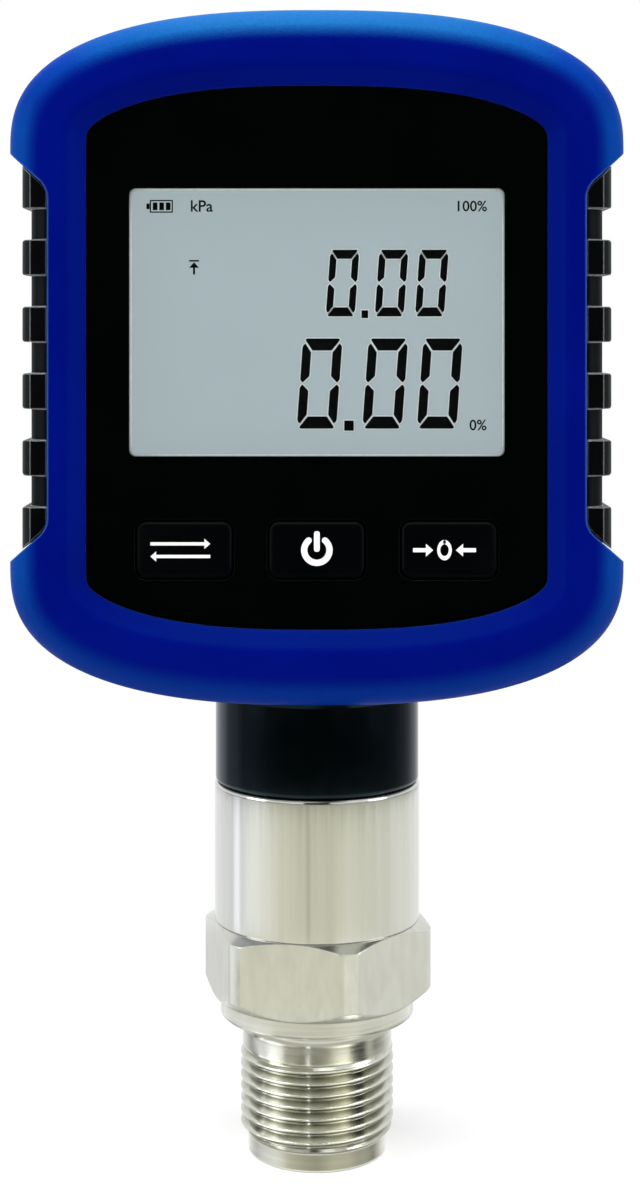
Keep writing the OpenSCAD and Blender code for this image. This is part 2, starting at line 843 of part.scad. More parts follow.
module lcd_frame() {
    grow = 2 * (fine_step + frame_wall);
    color(cream) at_view() difference() {
        plate(glass_w + grow, glass_h + grow, y_film, y_board);
        plate(glass_w + 2 * fine_step, glass_h + 2 * fine_step,
              y_film - cut_over, y_board + cut_over);
    }
}

module zebra_strips() {
    zebra_w = ledge_l - 2 * fine_step;
    color(zebra_pink) at_view() for (end = [-1, 1])
        translate([0, 0, end * (glass_h / 2 - ledge_l / 2)])
            plate(view_w, zebra_w, y_glass_rear, y_board);
}

// ---- main board ----
module main_board() {
    color(board_green) difference() {
        intersection() {
            head_slab(board_inset, y_board, y_board_back);
            translate([-head_w / 2, y_board - cut_over, z_head - board_low])
                cube([head_w, board_t + 2 * cut_over, board_low + board_high]);
        }
        at_case_screws() rod_y(case_boss_r + fit_gap, y_board - cut_over,
                               y_board_back + cut_over);
        at_board_posts() rod_y(board_screw_r + fine_step, y_board - cut_over,
                               y_board_back + cut_over);
    }
}

// A chip with pins along two or four sides, on the board's back face
chip_pin_w = 0.4;
chip_pin_l = 1;
chip_pin_t = 0.5;
module chip(w, h, t, pins, four_sided) {
    plate(w, h, y_board_back, y_board_back + t);
    for (side = [-1, 1]) for (k = [0 : pins - 1]) {
        along = (2 * k + 1 - pins) / (2 * pins);
        translate([side * (w + chip_pin_l) / 2, 0, along * h])
            plate(chip_pin_l, chip_pin_w, y_board_back, y_board_back + chip_pin_t);
        if (four_sided) translate([along * w, 0, side * (h + chip_pin_l) / 2])
            plate(chip_pin_w, chip_pin_l, y_board_back, y_board_back + chip_pin_t);
    }
}

mcu_w = 10;
mcu_t = 1.4;
adc_w = 5;
adc_l = 7;
chip_t = 1.2;
regulator_w = 4;
regulator_l = 6;
module board_chips() {
    color(chip_grey) translate([0, 0, z_head]) {
        translate([-mcu_w / 2, 0, mcu_w]) chip(mcu_w, mcu_w, mcu_t, 6, true);
        translate([adc_w * 2, 0, -mcu_w / 2]) chip(adc_w, adc_l, chip_t, 4, false);
        translate([-adc_w * 2, 0, -mcu_w]) chip(regulator_w, regulator_l, chip_t, 3, false);
    }
}

can_r = 2;
can_h = 4.2;
smd_w = 1.2;
smd_l = 2;
smd_t = 0.9;
smd_count = 6;
module board_capacitors() {
    color(steel) translate([0, 0, z_head]) {
        for (i = [0, 1]) translate([mcu_w + i * 3 * can_r, 0, mcu_w])
            rod_y(can_r, y_board_back, y_board_back + can_h);
        for (i = [0 : smd_count - 1])
            translate([(i - smd_count / 2) * 2 * smd_l, 0, mcu_w / 4])
                plate(smd_w, smd_l, y_board_back, y_board_back + smd_t);
        translate([mcu_w, 0, 2 * mcu_w - can_r]) {
            plate(mcu_w - 2 * can_r, 2 * can_r, y_board_back, y_board_back + 2 * can_r);
        }
    }
}

// A pan-head screw along Y, its head towards +Y, with a cross recess
slot_share = 0.55;      // cross recess against the head's radius
slot_t = 0.5;
module pan_screw(r, l, head_r, head_h, y_seat) {
    difference() {
        union() {
            rod_y(r, y_seat - l, y_seat + head_h / 2);
            rod_y(head_r, y_seat, y_seat + head_h);
        }
        for (turn = [0, 90]) rotate([0, turn, 0])
            plate(2 * slot_share * head_r, slot_t, y_seat + head_h / 2,
                  y_seat + head_h + cut_over);
    }
}

module board_screws() {
    color(steel) at_board_posts()
        pan_screw(pilot_r - run_gap, board_screw_l, board_screw_head_r, board_screw_head_h,
                  y_board_back);
}

// ---- sensor lead ----
header_x = -13;
header_w = 10;
header_h = 5;
header_t = 4;
header_wall = 0.7;
plug_out = 4;           // plug outside its header
wire_d = 1.1;
wire_space = 0.8;
wire_pitch = wire_d + wire_space;
header_rise = 5.3;      // header above the board's lower edge
z_header = z_head - board_low + header_rise;
y_header = y_board_back + header_t / 2;
module sensor_header() {
    color(cream) translate([header_x, 0, z_header + header_h / 2]) difference() {
        plate(header_w, header_h, y_board_back, y_board_back + header_t);
        translate([0, 0, -header_wall - cut_over / 2])
            plate(header_w - 2 * header_wall, header_h + cut_over,
                  y_board_back + header_wall, y_board_back + header_t - header_wall);
    }
}

module sensor_plug() {
    plug_in = header_h - 2 * header_wall;
    color(cream) translate([header_x, 0, z_header - plug_out / 2 + plug_in / 2])
        plate(header_w - 2 * header_wall - 2 * fine_step, plug_out + plug_in,
              y_board_back + header_wall + fine_step,
              y_board_back + header_t - header_wall - fine_step);
}

// Each wire rises from the compensation board, through the neck, to the plug
z_comp_top = z_shoulder + comp_board_t;
z_stub = z_wall_in + nut_t + stub_end;
wire_spread = 2.2;
wire_count = 4;
wire_steps = 4;
wire_sides = 8;
neck_share = 0.68;      // the wires draw in to pass the neck
module sensor_wires() {
    color(wire_red) for (i = [0 : wire_count - 1]) {
        place = i - (wire_count - 1) / 2;
        x0 = place * wire_spread;
        x_neck = neck_share * x0;
        x1 = header_x + place * wire_pitch;
        tube(lead([[x0, 2 * wire_spread, z_comp_top],
                   [x0, 2 * wire_spread, z_comp_top + wire_d],
                   [x0, 2 * wire_spread, z_comp_top + plug_l],
                   [x_neck, wire_spread, z_collar],
                   [x_neck, 0, (z_collar + z_stub) / 2],
                   [x_neck, 0, z_stub - wire_d],
                   [(x_neck + x1) / 2, y_header / 2, z_stub + wire_d],
                   [x1, y_header, z_header - plug_out - wire_d],
                   [x1, y_header, z_header - plug_out]], wire_steps),
             wire_d / 2, wire_sides);
    }
}

// ---- batteries ----
module cell(i, up) {
    z = z_head + well_rise - well_l / 2 + plate_t + (up ? spring_h : 0);
    translate([i * cell_pitch, y_cell, z]) translate([0, 0, up ? 0 : cell_l])
        scale([1, 1, up ? 1 : -1]) {
            cylinder(r = cell_r, h = cell_l - cell_nub_h);
            cylinder(r = cell_nub_r, h = cell_l);
        }
}
module battery_left() color(cell_gold) cell(-1, true);
module battery_middle() color(cell_gold) cell(0, false);
module battery_right() color(cell_gold) cell(1, true);

// Conical spring from its plate to the flat end of a cell
function spring_path() =
    let (n = spring_turns * spring_steps, r = spring_wire_d / 2,
         rise = spring_h - spring_wire_d - fine_step)
    [for (k = [0 : n])
        let (s = k / n, a = 360 * k / spring_steps,
             radius = spring_base_r + (spring_tip_r - spring_base_r) * s)
        [radius * cos(a), radius * sin(a), r + rise * s]];
function least_gap(p, lag) = min([for (i = [0 : len(p) - 1 - lag]) norm(p[i + lag] - p[i])]);
spring_gap = least_gap(spring_path(), spring_steps) - spring_wire_d;
echo(str("least gap between the spring's turns: ", spring_gap, " mm"));

module battery_springs() {
    z_low = z_head + well_rise - well_l / 2 + plate_t;
    z_high = z_low + cell_l + spring_h;
    color(steel) {
        for (i = [-1, 1]) translate([i * cell_pitch, y_cell, z_low])
            tube(spring_path(), spring_wire_d / 2, spring_sides);
        translate([0, y_cell, z_high]) rotate([180, 0, 0])
            tube(spring_path(), spring_wire_d / 2, spring_sides);
    }
}

contact_h = 8;
module battery_contacts() {
    wide = cell_pitch + contact_h;
    color(steel) at_well() for (end = [-1, 1]) {
        z = end * (well_l / 2 - plate_t / 2);
        translate([end * cell_pitch / 2, y_cell, z])
            cube([wide, contact_h, plate_t], center = true);
        translate([-end * cell_pitch, y_cell, z])
            cube([contact_h, contact_h, plate_t], center = true);
        translate([-end * (cell_pitch + cell_r / 2), (y_well + y_cell) / 2, z])
            cube([2 * lead_hole_r, y_cell - y_well - fit_gap, plate_t], center = true);
    }
}

lead_d = 1.2;
lead_out = 2 * lead_d;
lead_steps = 4;
module battery_leads() {
    color(wire_red) for (end = [-1, 1]) {
        x = -end * (cell_pitch + cell_r / 2);
        z0 = z_head + well_rise + end * well_l / 2;
        z1 = z0 + end * (well_wall + lead_out);
        tube(lead([[x, lead_hole_y, z0],
                   [x, lead_hole_y, z0 + end * well_wall],
                   [x, lead_hole_y - lead_d, z1],
                   [x, (lead_hole_y + y_board_back) / 2, z1],
                   [x, y_board_back + lead_d, z1 - end * lead_out / 2],
                   [x, y_board_back, z1 - end * lead_out / 2]], lead_steps),
             lead_d / 2, wire_sides);
    }
}

module battery_door() {
    color(black_plastic) difference() {
        union() {
            at_well() slab(y_ledge, y_back) door_shape(0);
            for (k = [0 : rib_count - 1])
                at_well() translate([0, 0, -door_l / 4 + (k - (rib_count - 1) / 2) * rib_pitch])
                    slab(y_back - rib_rise, y_back + rib_rise) rounded(rib_w, rib_t, rib_edge_r);
        }
        at_door_screws() rod_y(door_screw_hole_r, y_ledge - cut_over, y_back + cut_over);
        at_door_screws() rod_y(door_sink_r, y_back - door_sink, y_back + cut_over);
    }
}

module door_gasket() {
    color(seal_grey) groove_ring(y_ledge - groove_depth, y_ledge);
}

module door_screws() {
    color(steel) at_door_screws()
        pan_screw(door_screw_r, door_screw_l, door_screw_head_r, door_screw_head_h,
                  y_back - door_sink);
}

module door_inserts() {
    color(brass) at_door_screws() difference() {
        rod_y(insert_r, y_ledge - door_insert_l, y_ledge);
        rod_y(door_screw_r + run_gap, y_ledge - door_insert_l - cut_over, y_ledge + cut_over);
    }
}

module case_screws() {
    y_seat = y_back - case_sink;
    color(steel) at_case_screws()
        pan_screw(case_screw_r, y_seat + insert_l, case_screw_head_r, case_screw_head_h, y_seat);
}

module case_inserts() {
    color(brass) at_case_screws() difference() {
        rod_y(insert_r, -insert_l, 0);
        rod_y(case_screw_r + run_gap, -insert_l - cut_over, cut_over);
    }
}

// ---- neck ----
tube_bore_r = tube_d / 2 - tube_wall;
plug_r = tube_bore_r - plug_gap;
collar_groove_r = tube_bore_r - oring_d;
module neck_collar() {
    r = collar_d / 2;
    z_plug = z_collar - plug_l;
    z_groove = z_plug + groove_end;
    z_step = z_pad - collar_web;
    color(gloss_black) difference() {
        rotate_extrude($fn = 96) polygon([
            [stub_bore_d / 2, z_plug], [plug_r - edge_cut, z_plug], [plug_r, z_plug + edge_cut],
            [plug_r, z_groove], [collar_groove_r, z_groove],
            [collar_groove_r, z_groove + oring_groove_w], [plug_r, z_groove + oring_groove_w],
            [plug_r, z_collar], [r - edge_cut, z_collar], [r, z_collar + edge_cut],
            [r, z_pad], [stub_d / 2, z_pad], [stub_d / 2, z_stub], [stub_bore_d / 2, z_stub]
        ]);
        translate([0, 0, z_plug - cut_over])
            cylinder(r = collar_bore_d / 2, h = z_step - z_plug + cut_over);
    }
}

module neck_locknut() {
    color(steel) translate([0, 0, z_wall_in]) difference() {
        cylinder(r = nut_af / 2 / cos(30), h = nut_t, $fn = 6);
        translate([0, 0, -cut_over])
            cylinder(r = stub_d / 2 + run_gap, h = nut_t + 2 * cut_over);
    }
}

module oring(r_mid, d, z) {
    color(seal_grey) translate([0, 0, z]) rotate_extrude($fn = 96)
        translate([r_mid, 0]) circle(d = d - fine_step / 2, $fn = 24);
}

module neck_oring() {
    oring(tube_bore_r - oring_d / 2, oring_d,
          z_collar - plug_l + groove_end + oring_groove_w / 2);
}

// ---- sensor ----
module sensor_tube() {
    r = tube_d / 2;
    color(steel) rotate_extrude($fn = 128) polygon([
        [tube_bore_r, z_tube], [r, z_tube], [r, z_collar - edge_cut],
        [r - edge_cut, z_collar], [tube_bore_r, z_collar]
    ]);
}

band_fillet = 1.8;
hex_chamfer_angle = 40;
spigot_cut = 0.3;
module port_outline() {
    spigot_r = spigot_d / 2;
    band_r = band_d / 2;
    z_first = z_thread + thread_lead;
    polygon([[0, 0], [spigot_r - spigot_cut, 0], [spigot_r, spigot_cut],
             [spigot_r, z_thread], [0, z_thread]]);
    translate([0, z_thread]) square([root_r, thread_l]);
    for (k = [0 : thread_count - 1]) {
        z = z_first + k * thread_pitch;
        polygon([[0, z], [root_r, z], [thread_r, z + flank_share * thread_pitch],
                 [thread_r, z + (flank_share + crest_share) * thread_pitch],
                 [root_r, z + (2 * flank_share + crest_share) * thread_pitch],
                 [0, z + (2 * flank_share + crest_share) * thread_pitch]]);
    }
    translate([0, z_band]) square([band_r, band_l]);
    difference() {
        translate([0, z_disc - band_fillet]) square([band_r + band_fillet, band_fillet]);
        translate([band_r + band_fillet, z_disc - band_fillet])
            circle(r = band_fillet, $fn = 48);
    }
    polygon([[0, z_disc], [disc_d / 2 - spigot_cut, z_disc], [disc_d / 2, z_disc + spigot_cut],
             [disc_d / 2, z_hex + cut_over / 2], [0, z_hex + cut_over / 2]]);
}

module hexagon() {
    flat_r = hex_af / 2;
    round_r = hex_round_d / 2;
    drop = (round_r - flat_r + spigot_cut) * tan(hex_chamfer_angle);
    intersection() {
        translate([0, 0, z_hex]) rotate([0, 0, hex_turn - 90])
            cylinder(r = flat_r / cos(30), h = hex_h, $fn = 6);
        rotate_extrude($fn = 128) polygon([
            [0, z_hex], [flat_r - spigot_cut, z_hex], [round_r, z_hex + drop],
            [round_r, z_tube - drop], [flat_r - spigot_cut, z_tube], [0, z_tube]
        ]);
    }
}

chamber_r = capsule_d / 2 + capsule_gap;
module process_connector() {
    color(steel) difference() {
        union() {
            rotate_extrude($fn = 128) port_outline();
            hexagon();
            translate([0, 0, z_tube - cut_over])
                cylinder(r = tube_bore_r - plug_gap, h = shoulder_l + cut_over, $fn = 96);
        }
        translate([0, 0, -cut_over]) cylinder(r = port_d / 2, h = z_chamber + 2 * cut_over);
        translate([0, 0, z_chamber])
            cylinder(r = chamber_r, h = z_shoulder - z_chamber + cut_over, $fn = 96);
    }
}

capsule_r = capsule_d / 2;
diaphragm_r = diaphragm_share * capsule_r;
z_capsule_top = z_chamber + capsule_h;
module sensor_capsule() {
    groove_r = chamber_r - capsule_oring_d;
    z_groove = z_chamber + (capsule_h - capsule_groove_w) / 2;
    color(steel) difference() {
        rotate_extrude($fn = 96) polygon([
            [0, z_chamber], [capsule_r, z_chamber], [capsule_r, z_groove],
            [groove_r, z_groove], [groove_r, z_groove + capsule_groove_w],
            [capsule_r, z_groove + capsule_groove_w], [capsule_r, z_capsule_top],
            [0, z_capsule_top]
        ]);
        translate([0, 0, z_chamber - cut_over])
            cylinder(r = diaphragm_r + fine_step, h = diaphragm_recess + cut_over);
    }
}

// A thin disc with round waves, flat against the capsule at its rim
function wave(u) = wave_h / 2 * (1 - cos(360 * wave_count * u));
wave_steps = 32;
module isolating_diaphragm() {
    z = z_chamber + diaphragm_recess - diaphragm_t;
    radii = [for (i = [0 : wave_steps]) i / wave_steps];
    color(steel) rotate_extrude($fn = 64) polygon(concat(
        [for (u = radii) [u * diaphragm_r, z - wave(u)]],
        [for (u = reversed(radii)) [u * diaphragm_r, z - wave(u) + diaphragm_t]]
    ));
}

module capsule_oring() {
    oring(chamber_r - capsule_oring_d / 2, capsule_oring_d, z_chamber + capsule_h / 2);
}

module retaining_ring() {
    color(steel) translate([0, 0, z_capsule_top]) difference() {
        cylinder(r = capsule_r, h = ring_h, $fn = 96);
        translate([0, 0, -cut_over])
            cylinder(r = ring_bore_d / 2, h = ring_h + 2 * cut_over);
        for (side = [-1, 1])
            translate([side * (capsule_r + ring_bore_d / 2) / 2, 0, ring_h / 2])
                cylinder(r = spanner_hole_r, h = ring_h, $fn = 24);
    }
}

module at_pins() {
    for (k = [0 : pin_count - 1]) rotate([0, 0, 360 * k / pin_count])
        translate([pin_circle_r, 0, 0]) children();
}

module header_pins() {
    color(brass) at_pins() translate([0, 0, z_capsule_top])
        cylinder(r = pin_r, h = z_comp_top + pin_past - z_capsule_top, $fn = 24);
}

module compensation_board() {
    color(board_green) difference() {
        translate([0, 0, z_shoulder])
            cylinder(r = tube_bore_r - comp_board_gap, h = comp_board_t, $fn = 96);
        at_pins() translate([0, 0, z_shoulder - cut_over])
            cylinder(r = pin_r + fine_step, h = comp_board_t + 2 * cut_over, $fn = 24);
    }
}

amp_w = 5;
amp_l = 4;
trim_w = 1.2;
trim_l = 2;
trim_out = 7;           // ring that the trim resistors stand on
module compensation_parts() {
    color(chip_grey) translate([0, 0, z_comp_top]) {
        translate([-amp_w / 2, -trim_out - amp_l / 4, 0]) cube([amp_w, amp_l, chip_t]);
        for (k = [-1, 1]) for (j = [-1, 1])
            translate([k * trim_out - trim_w / 2, j * trim_l - trim_l / 2, 0])
                cube([trim_w, trim_l, smd_t]);
    }
}

rubber_boot();
front_shell();
rear_shell();
shell_gasket();
front_panel();
display_window();
key_left();
key_power();
key_right();
plunger_left();
plunger_power();
plunger_right();
tact_switches();
lcd_front_glass();
lcd_rear_glass();
lcd_polarizers();
lcd_backlight();
lcd_frame();
zebra_strips();
main_board();
board_chips();
board_capacitors();
board_screws();
sensor_header();
sensor_plug();
sensor_wires();
battery_left();
battery_middle();
battery_right();
battery_springs();
battery_contacts();
battery_leads();
battery_door();
door_gasket();
door_screws();
door_inserts();
case_screws();
case_inserts();
neck_collar();
neck_locknut();
neck_oring();
sensor_tube();
process_connector();
sensor_capsule();
isolating_diaphragm();
capsule_oring();
retaining_ring();
header_pins();
compensation_board();
compensation_parts();
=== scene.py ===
"""Finishes a digital pressure gauge: a rubber-booted display head on a stainless steel port.

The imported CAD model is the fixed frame, in metres, +Z up along the port and -Y out of the
display. Sizes in this file are in millimetres. The origin is the mouth of the port.
"""

import logging
import math
from collections.abc import Sequence
from dataclasses import dataclass, field
from enum import Enum

import bmesh
import bpy
import numpy as np
from mathutils import Matrix, Vector
from numpy.typing import NDArray


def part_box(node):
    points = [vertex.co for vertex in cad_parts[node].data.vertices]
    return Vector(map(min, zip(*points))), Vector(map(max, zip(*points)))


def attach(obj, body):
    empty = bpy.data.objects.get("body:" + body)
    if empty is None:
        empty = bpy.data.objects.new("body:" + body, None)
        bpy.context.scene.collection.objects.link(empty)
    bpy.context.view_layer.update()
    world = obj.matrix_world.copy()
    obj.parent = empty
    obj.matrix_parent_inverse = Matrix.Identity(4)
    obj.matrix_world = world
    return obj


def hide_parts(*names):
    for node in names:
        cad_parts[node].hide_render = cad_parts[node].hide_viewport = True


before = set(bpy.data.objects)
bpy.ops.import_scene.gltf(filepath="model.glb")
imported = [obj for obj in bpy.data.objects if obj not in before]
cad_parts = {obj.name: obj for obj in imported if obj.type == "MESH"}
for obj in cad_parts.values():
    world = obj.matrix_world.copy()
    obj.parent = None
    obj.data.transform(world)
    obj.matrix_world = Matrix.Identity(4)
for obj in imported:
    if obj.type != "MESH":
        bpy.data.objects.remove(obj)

Points = NDArray[np.float64]
Vec3 = tuple[float, float, float]
Rows = tuple[Points, Points]
Tree = bpy.types.NodeTree
Socket = bpy.types.NodeSocket
Piece = bpy.types.Object

MM = 0.001              # one millimetre in Blender's metres
SAME_PLACE = 1e-6       # metres within which two vertices are one
FULL_TURN = 2 * math.pi
QUARTER = math.pi / 2
CORNERS = np.array([[1, 1], [-1, 1], [-1, -1], [1, -1]])    # the way to each, in order
AXIS = 0.001            # radius of a point that stands for the axis
WARMTH = np.array([0, 0.02, 0.16])      # what a warm card lacks of red, green and blue

log = logging.getLogger("gauge")


# ---- meshes ----
def unit(vectors: Points) -> Points:
    """Each vector, along the last axis, divided by its own length."""
    return vectors / np.linalg.norm(vectors, axis=-1, keepdims=True)


def box(x0: float, x1: float, z0: float, z1: float) -> Points:
    """The corners of a rectangle, counterclockwise."""
    return np.array([(x0, z0), (x1, z0), (x1, z1), (x0, z1)])


def layers(*outlines: tuple[Points, float]) -> Points:
    """A row of points for each outline in X and Z, at its own Y."""
    return np.stack([np.insert(outline, 1, y, axis=1) for outline, y in outlines])


def around(r: Points, z: Points | float, turn: Points) -> Points:
    """The points (r cos a, r sin a, z) at each angle a of a turn."""
    return np.stack(np.broadcast_arrays(r * np.cos(turn), r * np.sin(turn), z), -1)


def softened(corners: Sequence[Vec3], steps: int = 6, hold: float = 0.0) -> Points:
    """A closed outline whose corners are rounded.

    Each corner C turns along the curve (1-t)^2 A + 2t(1-t) C + t^2 B, where A and B lie on
    its two sides, the same distance from C.

    Args:
        corners: Both coordinates of each corner, and how far from it the curve starts.
        steps: Points on each rounded corner.
        hold: Distance of one more point on each side of a curve, which keeps a flat wall's
            shading flat. At nought there is none.

    Returns:
        The points of the outline, in order.
    """
    table = np.asarray(corners, float)[:, None, :]
    place, cut = table[..., :2], table[..., 2:]
    before, after = (unit(np.roll(place, by, 0) - place) for by in (1, -1))
    a, b = place + before * cut, place + after * cut
    t = np.linspace(0, 1, steps)[None, :, None]
    line = (1 - t) ** 2 * a + 2 * t * (1 - t) * place + t**2 * b
    rest = np.where(cut > 0, hold, 0)
    line = np.concatenate([a + before * rest, line, b + after * rest], axis=1).reshape(-1, 2)
    return line[np.linalg.norm(line - np.roll(line, 1, 0), axis=1) > SAME_PLACE / MM]


def grown(outline: Points, by: float) -> Points:
    """A convex outline, counterclockwise, with every side moved outwards.

    A corner moves by (n1 + n2) / (1 + n1.n2), where n1 and n2 are its sides' normals.

    Args:
        outline: Corners of the outline.
        by: Distance.

    Returns:
        The moved corners.
    """
    along = unit(np.roll(outline, -1, 0) - outline)
    after = np.stack([along[:, 1], -along[:, 0]], 1)
    before = np.roll(after, 1, 0)
    return outline + by * (before + after) / (1 + np.sum(before * after, 1))[:, None]


def put(name: str, data: bpy.types.ID, place: Vec3 = (0, 0, 0)) -> Piece:
    """Puts a mesh, a lamp or the camera into the scene.

    Args:
        name: Name of the object.
        data: What it shows.
        place: Where it stands.

    Returns:
        The new object.
    """
    holder = bpy.data.objects.new(name, data)
    holder.location = [v * MM for v in place]
    bpy.context.scene.collection.objects.link(holder)
    return holder


def smooth(name: str, mesh: bpy.types.Mesh, sharp: float) -> Piece:
    """Puts a mesh into the scene, smooth up to an angle.

    Args:
        name: Name of the piece.
        mesh: Its mesh, in metres.
        sharp: Angle in degrees past which an edge stays sharp.

    Returns:
        The new object, at the origin.
    """
    mesh.polygons.foreach_set("use_smooth", np.ones(len(mesh.polygons), bool))
    mesh.set_sharp_from_angle(angle=math.radians(sharp))
    return put(name, mesh)


def link_mesh(name: str, points: Points, faces: list[list[int]], sharp: float = 30) -> Piece:
    """Makes a mesh: doubles merged, faces outwards, smooth up to an angle.

    Args:
        name: Name of the piece.
        points: Vertices.
        faces: Vertex numbers of each face.
        sharp: Angle in degrees past which an edge stays sharp.

    Returns:
        The new object, at the origin.
    """
    mesh = bpy.data.meshes.new(name)
    mesh.from_pydata((points.reshape(-1, 3) * MM).tolist(), [], faces)
    shape = bmesh.new()
    shape.from_mesh(mesh)
    bmesh.ops.remove_doubles(shape, verts=shape.verts, dist=SAME_PLACE)
    bmesh.ops.dissolve_degenerate(shape, edges=shape.edges, dist=SAME_PLACE)
    bmesh.ops.recalc_face_normals(shape, faces=shape.faces)
    shape.to_mesh(mesh)
    shape.free()
    return smooth(name, mesh, sharp)


def grid_faces(rows: int, columns: int, round_rows: bool, round_columns: bool) -> list[list[int]]:
    """Quads between the neighbours of a grid.

    Args:
        rows: Rows of the grid.
        columns: Its columns.
        round_rows: Whether the last row joins the first.
        round_columns: Whether the last column joins the first.

    Returns:
        Vertex numbers of each quad.
    """
    i = np.arange(rows if round_rows else rows - 1)[:, None]
    j = np.arange(columns if round_columns else columns - 1)[None, :]
    i_next, j_next = (i + 1) % rows, (j + 1) % columns
    quads = np.broadcast_arrays(i * columns + j, i * columns + j_next,
                                i_next * columns + j_next, i_next * columns + j)
    return np.stack(quads, -1).reshape(-1, 4).tolist()


def grid_mesh(name: str, grid: Points, round_rows: bool = True, round_columns: bool = True,
              sharp: float = 30) -> Piece:
    """A piece of one grid of points, whose last row and column may join the first."""
    faces = grid_faces(*grid.shape[:2], round_rows, round_columns)
    return link_mesh(name, grid, faces, sharp)


def stacks(name: str, grids: Sequence[Points], sharp: float = 30) -> Piece:
    """Solids through stacks of closed rings, with a face on each first and last ring.

    Args:
        name: Name of the piece.
        grids: Points of each solid, a row for each ring.
        sharp: Angle in degrees past which an edge stays sharp.

    Returns:
        One object that holds them all.
    """
    faces, start = [], 0
    for grid in grids:
        rows, columns = grid.shape[:2]
        last = start + (rows - 1) * columns
        faces += (np.array(grid_faces(rows, columns, False, True)) + start).tolist()
        faces += [[*range(start, start + columns)], [*range(last, last + columns)]]
        start += rows * columns
    return link_mesh(name, np.concatenate([g.reshape(-1, 3) for g in grids]), faces, sharp)


def prisms(name: str, outlines: Sequence[Points], front: float, back: float) -> Piece:
    """Flat pieces parallel to the display, each an outline in X and Z carried along Y."""
    return stacks(name, [layers((line, front), (line, back)) for line in outlines])


def revolve(name: str, profile: Points, columns: int = 240, sharp: float = 30) -> Piece:
    """A ring about the port's axis: (r cos a, r sin a, z) for each (r, z) of a closed profile."""
    turn = np.linspace(0, FULL_TURN, columns, endpoint=False)
    return grid_mesh(name, around(*np.hsplit(profile, 2), turn), sharp=sharp)


def weigh(piece: Piece) -> None:
    """Lets the large flat faces of a piece set its shading."""
    weighted = piece.modifiers.new("weighted_normals", "WEIGHTED_NORMAL")
    weighted.mode, weighted.weight, weighted.keep_sharp = "FACE_AREA_WITH_ANGLE", 50, True


def refined(name: str, node: str) -> Piece:
    """A copy of a CAD node, its loose triangles merged and shaded smooth, that stands for it.

    The triangles' own stored normals are dropped, and new ones are weighted by area, so that
    a broad flat face stays flat up to its rounded edge.

    Args:
        name: Name of the piece.
        node: Name of the CAD node.

    Returns:
        The new object.
    """
    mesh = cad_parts[node].data.copy()
    mesh.materials.clear()
    stored = mesh.attributes.get("custom_normal")
    if stored is not None:
        mesh.attributes.remove(stored)
    shape = bmesh.new()
    shape.from_mesh(mesh)
    bmesh.ops.remove_doubles(shape, verts=shape.verts, dist=SAME_PLACE)
    shape.to_mesh(mesh)
    shape.free()
    piece = smooth(name, mesh, 30)
    weigh(piece)
    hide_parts(node)
    return piece


def places(items: bpy.types.bpy_prop_collection, key: str) -> Points:
    """The place of each vertex, or the centre of each face."""
    items.foreach_get(key, flat := np.zeros(len(items) * 3, np.float32))
    return flat.reshape(-1, 3) / MM


# ---- finishes ----
def linear(colour: str) -> tuple[float, ...]:
    """An sRGB hex colour as the linear colour that shaders take.

    Args:
        colour: Six hex digits after a hash.

    Returns:
        Linear red, green and blue, and an alpha of one.
    """
    code = np.array([*bytes.fromhex(colour[1:])]) / 255
    value = np.where(code <= 0.04045, code / 12.92, ((code + 0.055) / 1.055) ** 2.4)
    return (*value.tolist(), 1.0)


def bare_tree(owner: bpy.types.Material | bpy.types.World) -> Tree:
    """Empties a node tree.

    Args:
        owner: The material or world that has it.

    Returns:
        The tree.
    """
    owner.use_nodes = True
    owner.node_tree.nodes.clear()
    return owner.node_tree


def add_node(tree: Tree, kind: str, inputs: dict[str | int, object] | None = None,
             out: str | int = 0, **settings: object) -> Socket | None:
    """Adds one shader node.

    Args:
        tree: The tree it goes into.
        kind: Blender's name for the kind of node, without "ShaderNode".
        inputs: What each input takes: a value, or another node's output.
        out: Which of its outputs is wanted.
        **settings: The node's own settings.

    Returns:
        That output, or None from a node that has none.
    """
    node = tree.nodes.new("ShaderNode" + kind)
    for key, value in settings.items():
        setattr(node, key, value)
    for key, value in (inputs or {}).items():
        if isinstance(value, Socket):
            tree.links.new(value, node.inputs[key])
        else:
            node.inputs[key].default_value = value
    return node.outputs[out] if node.outputs else None


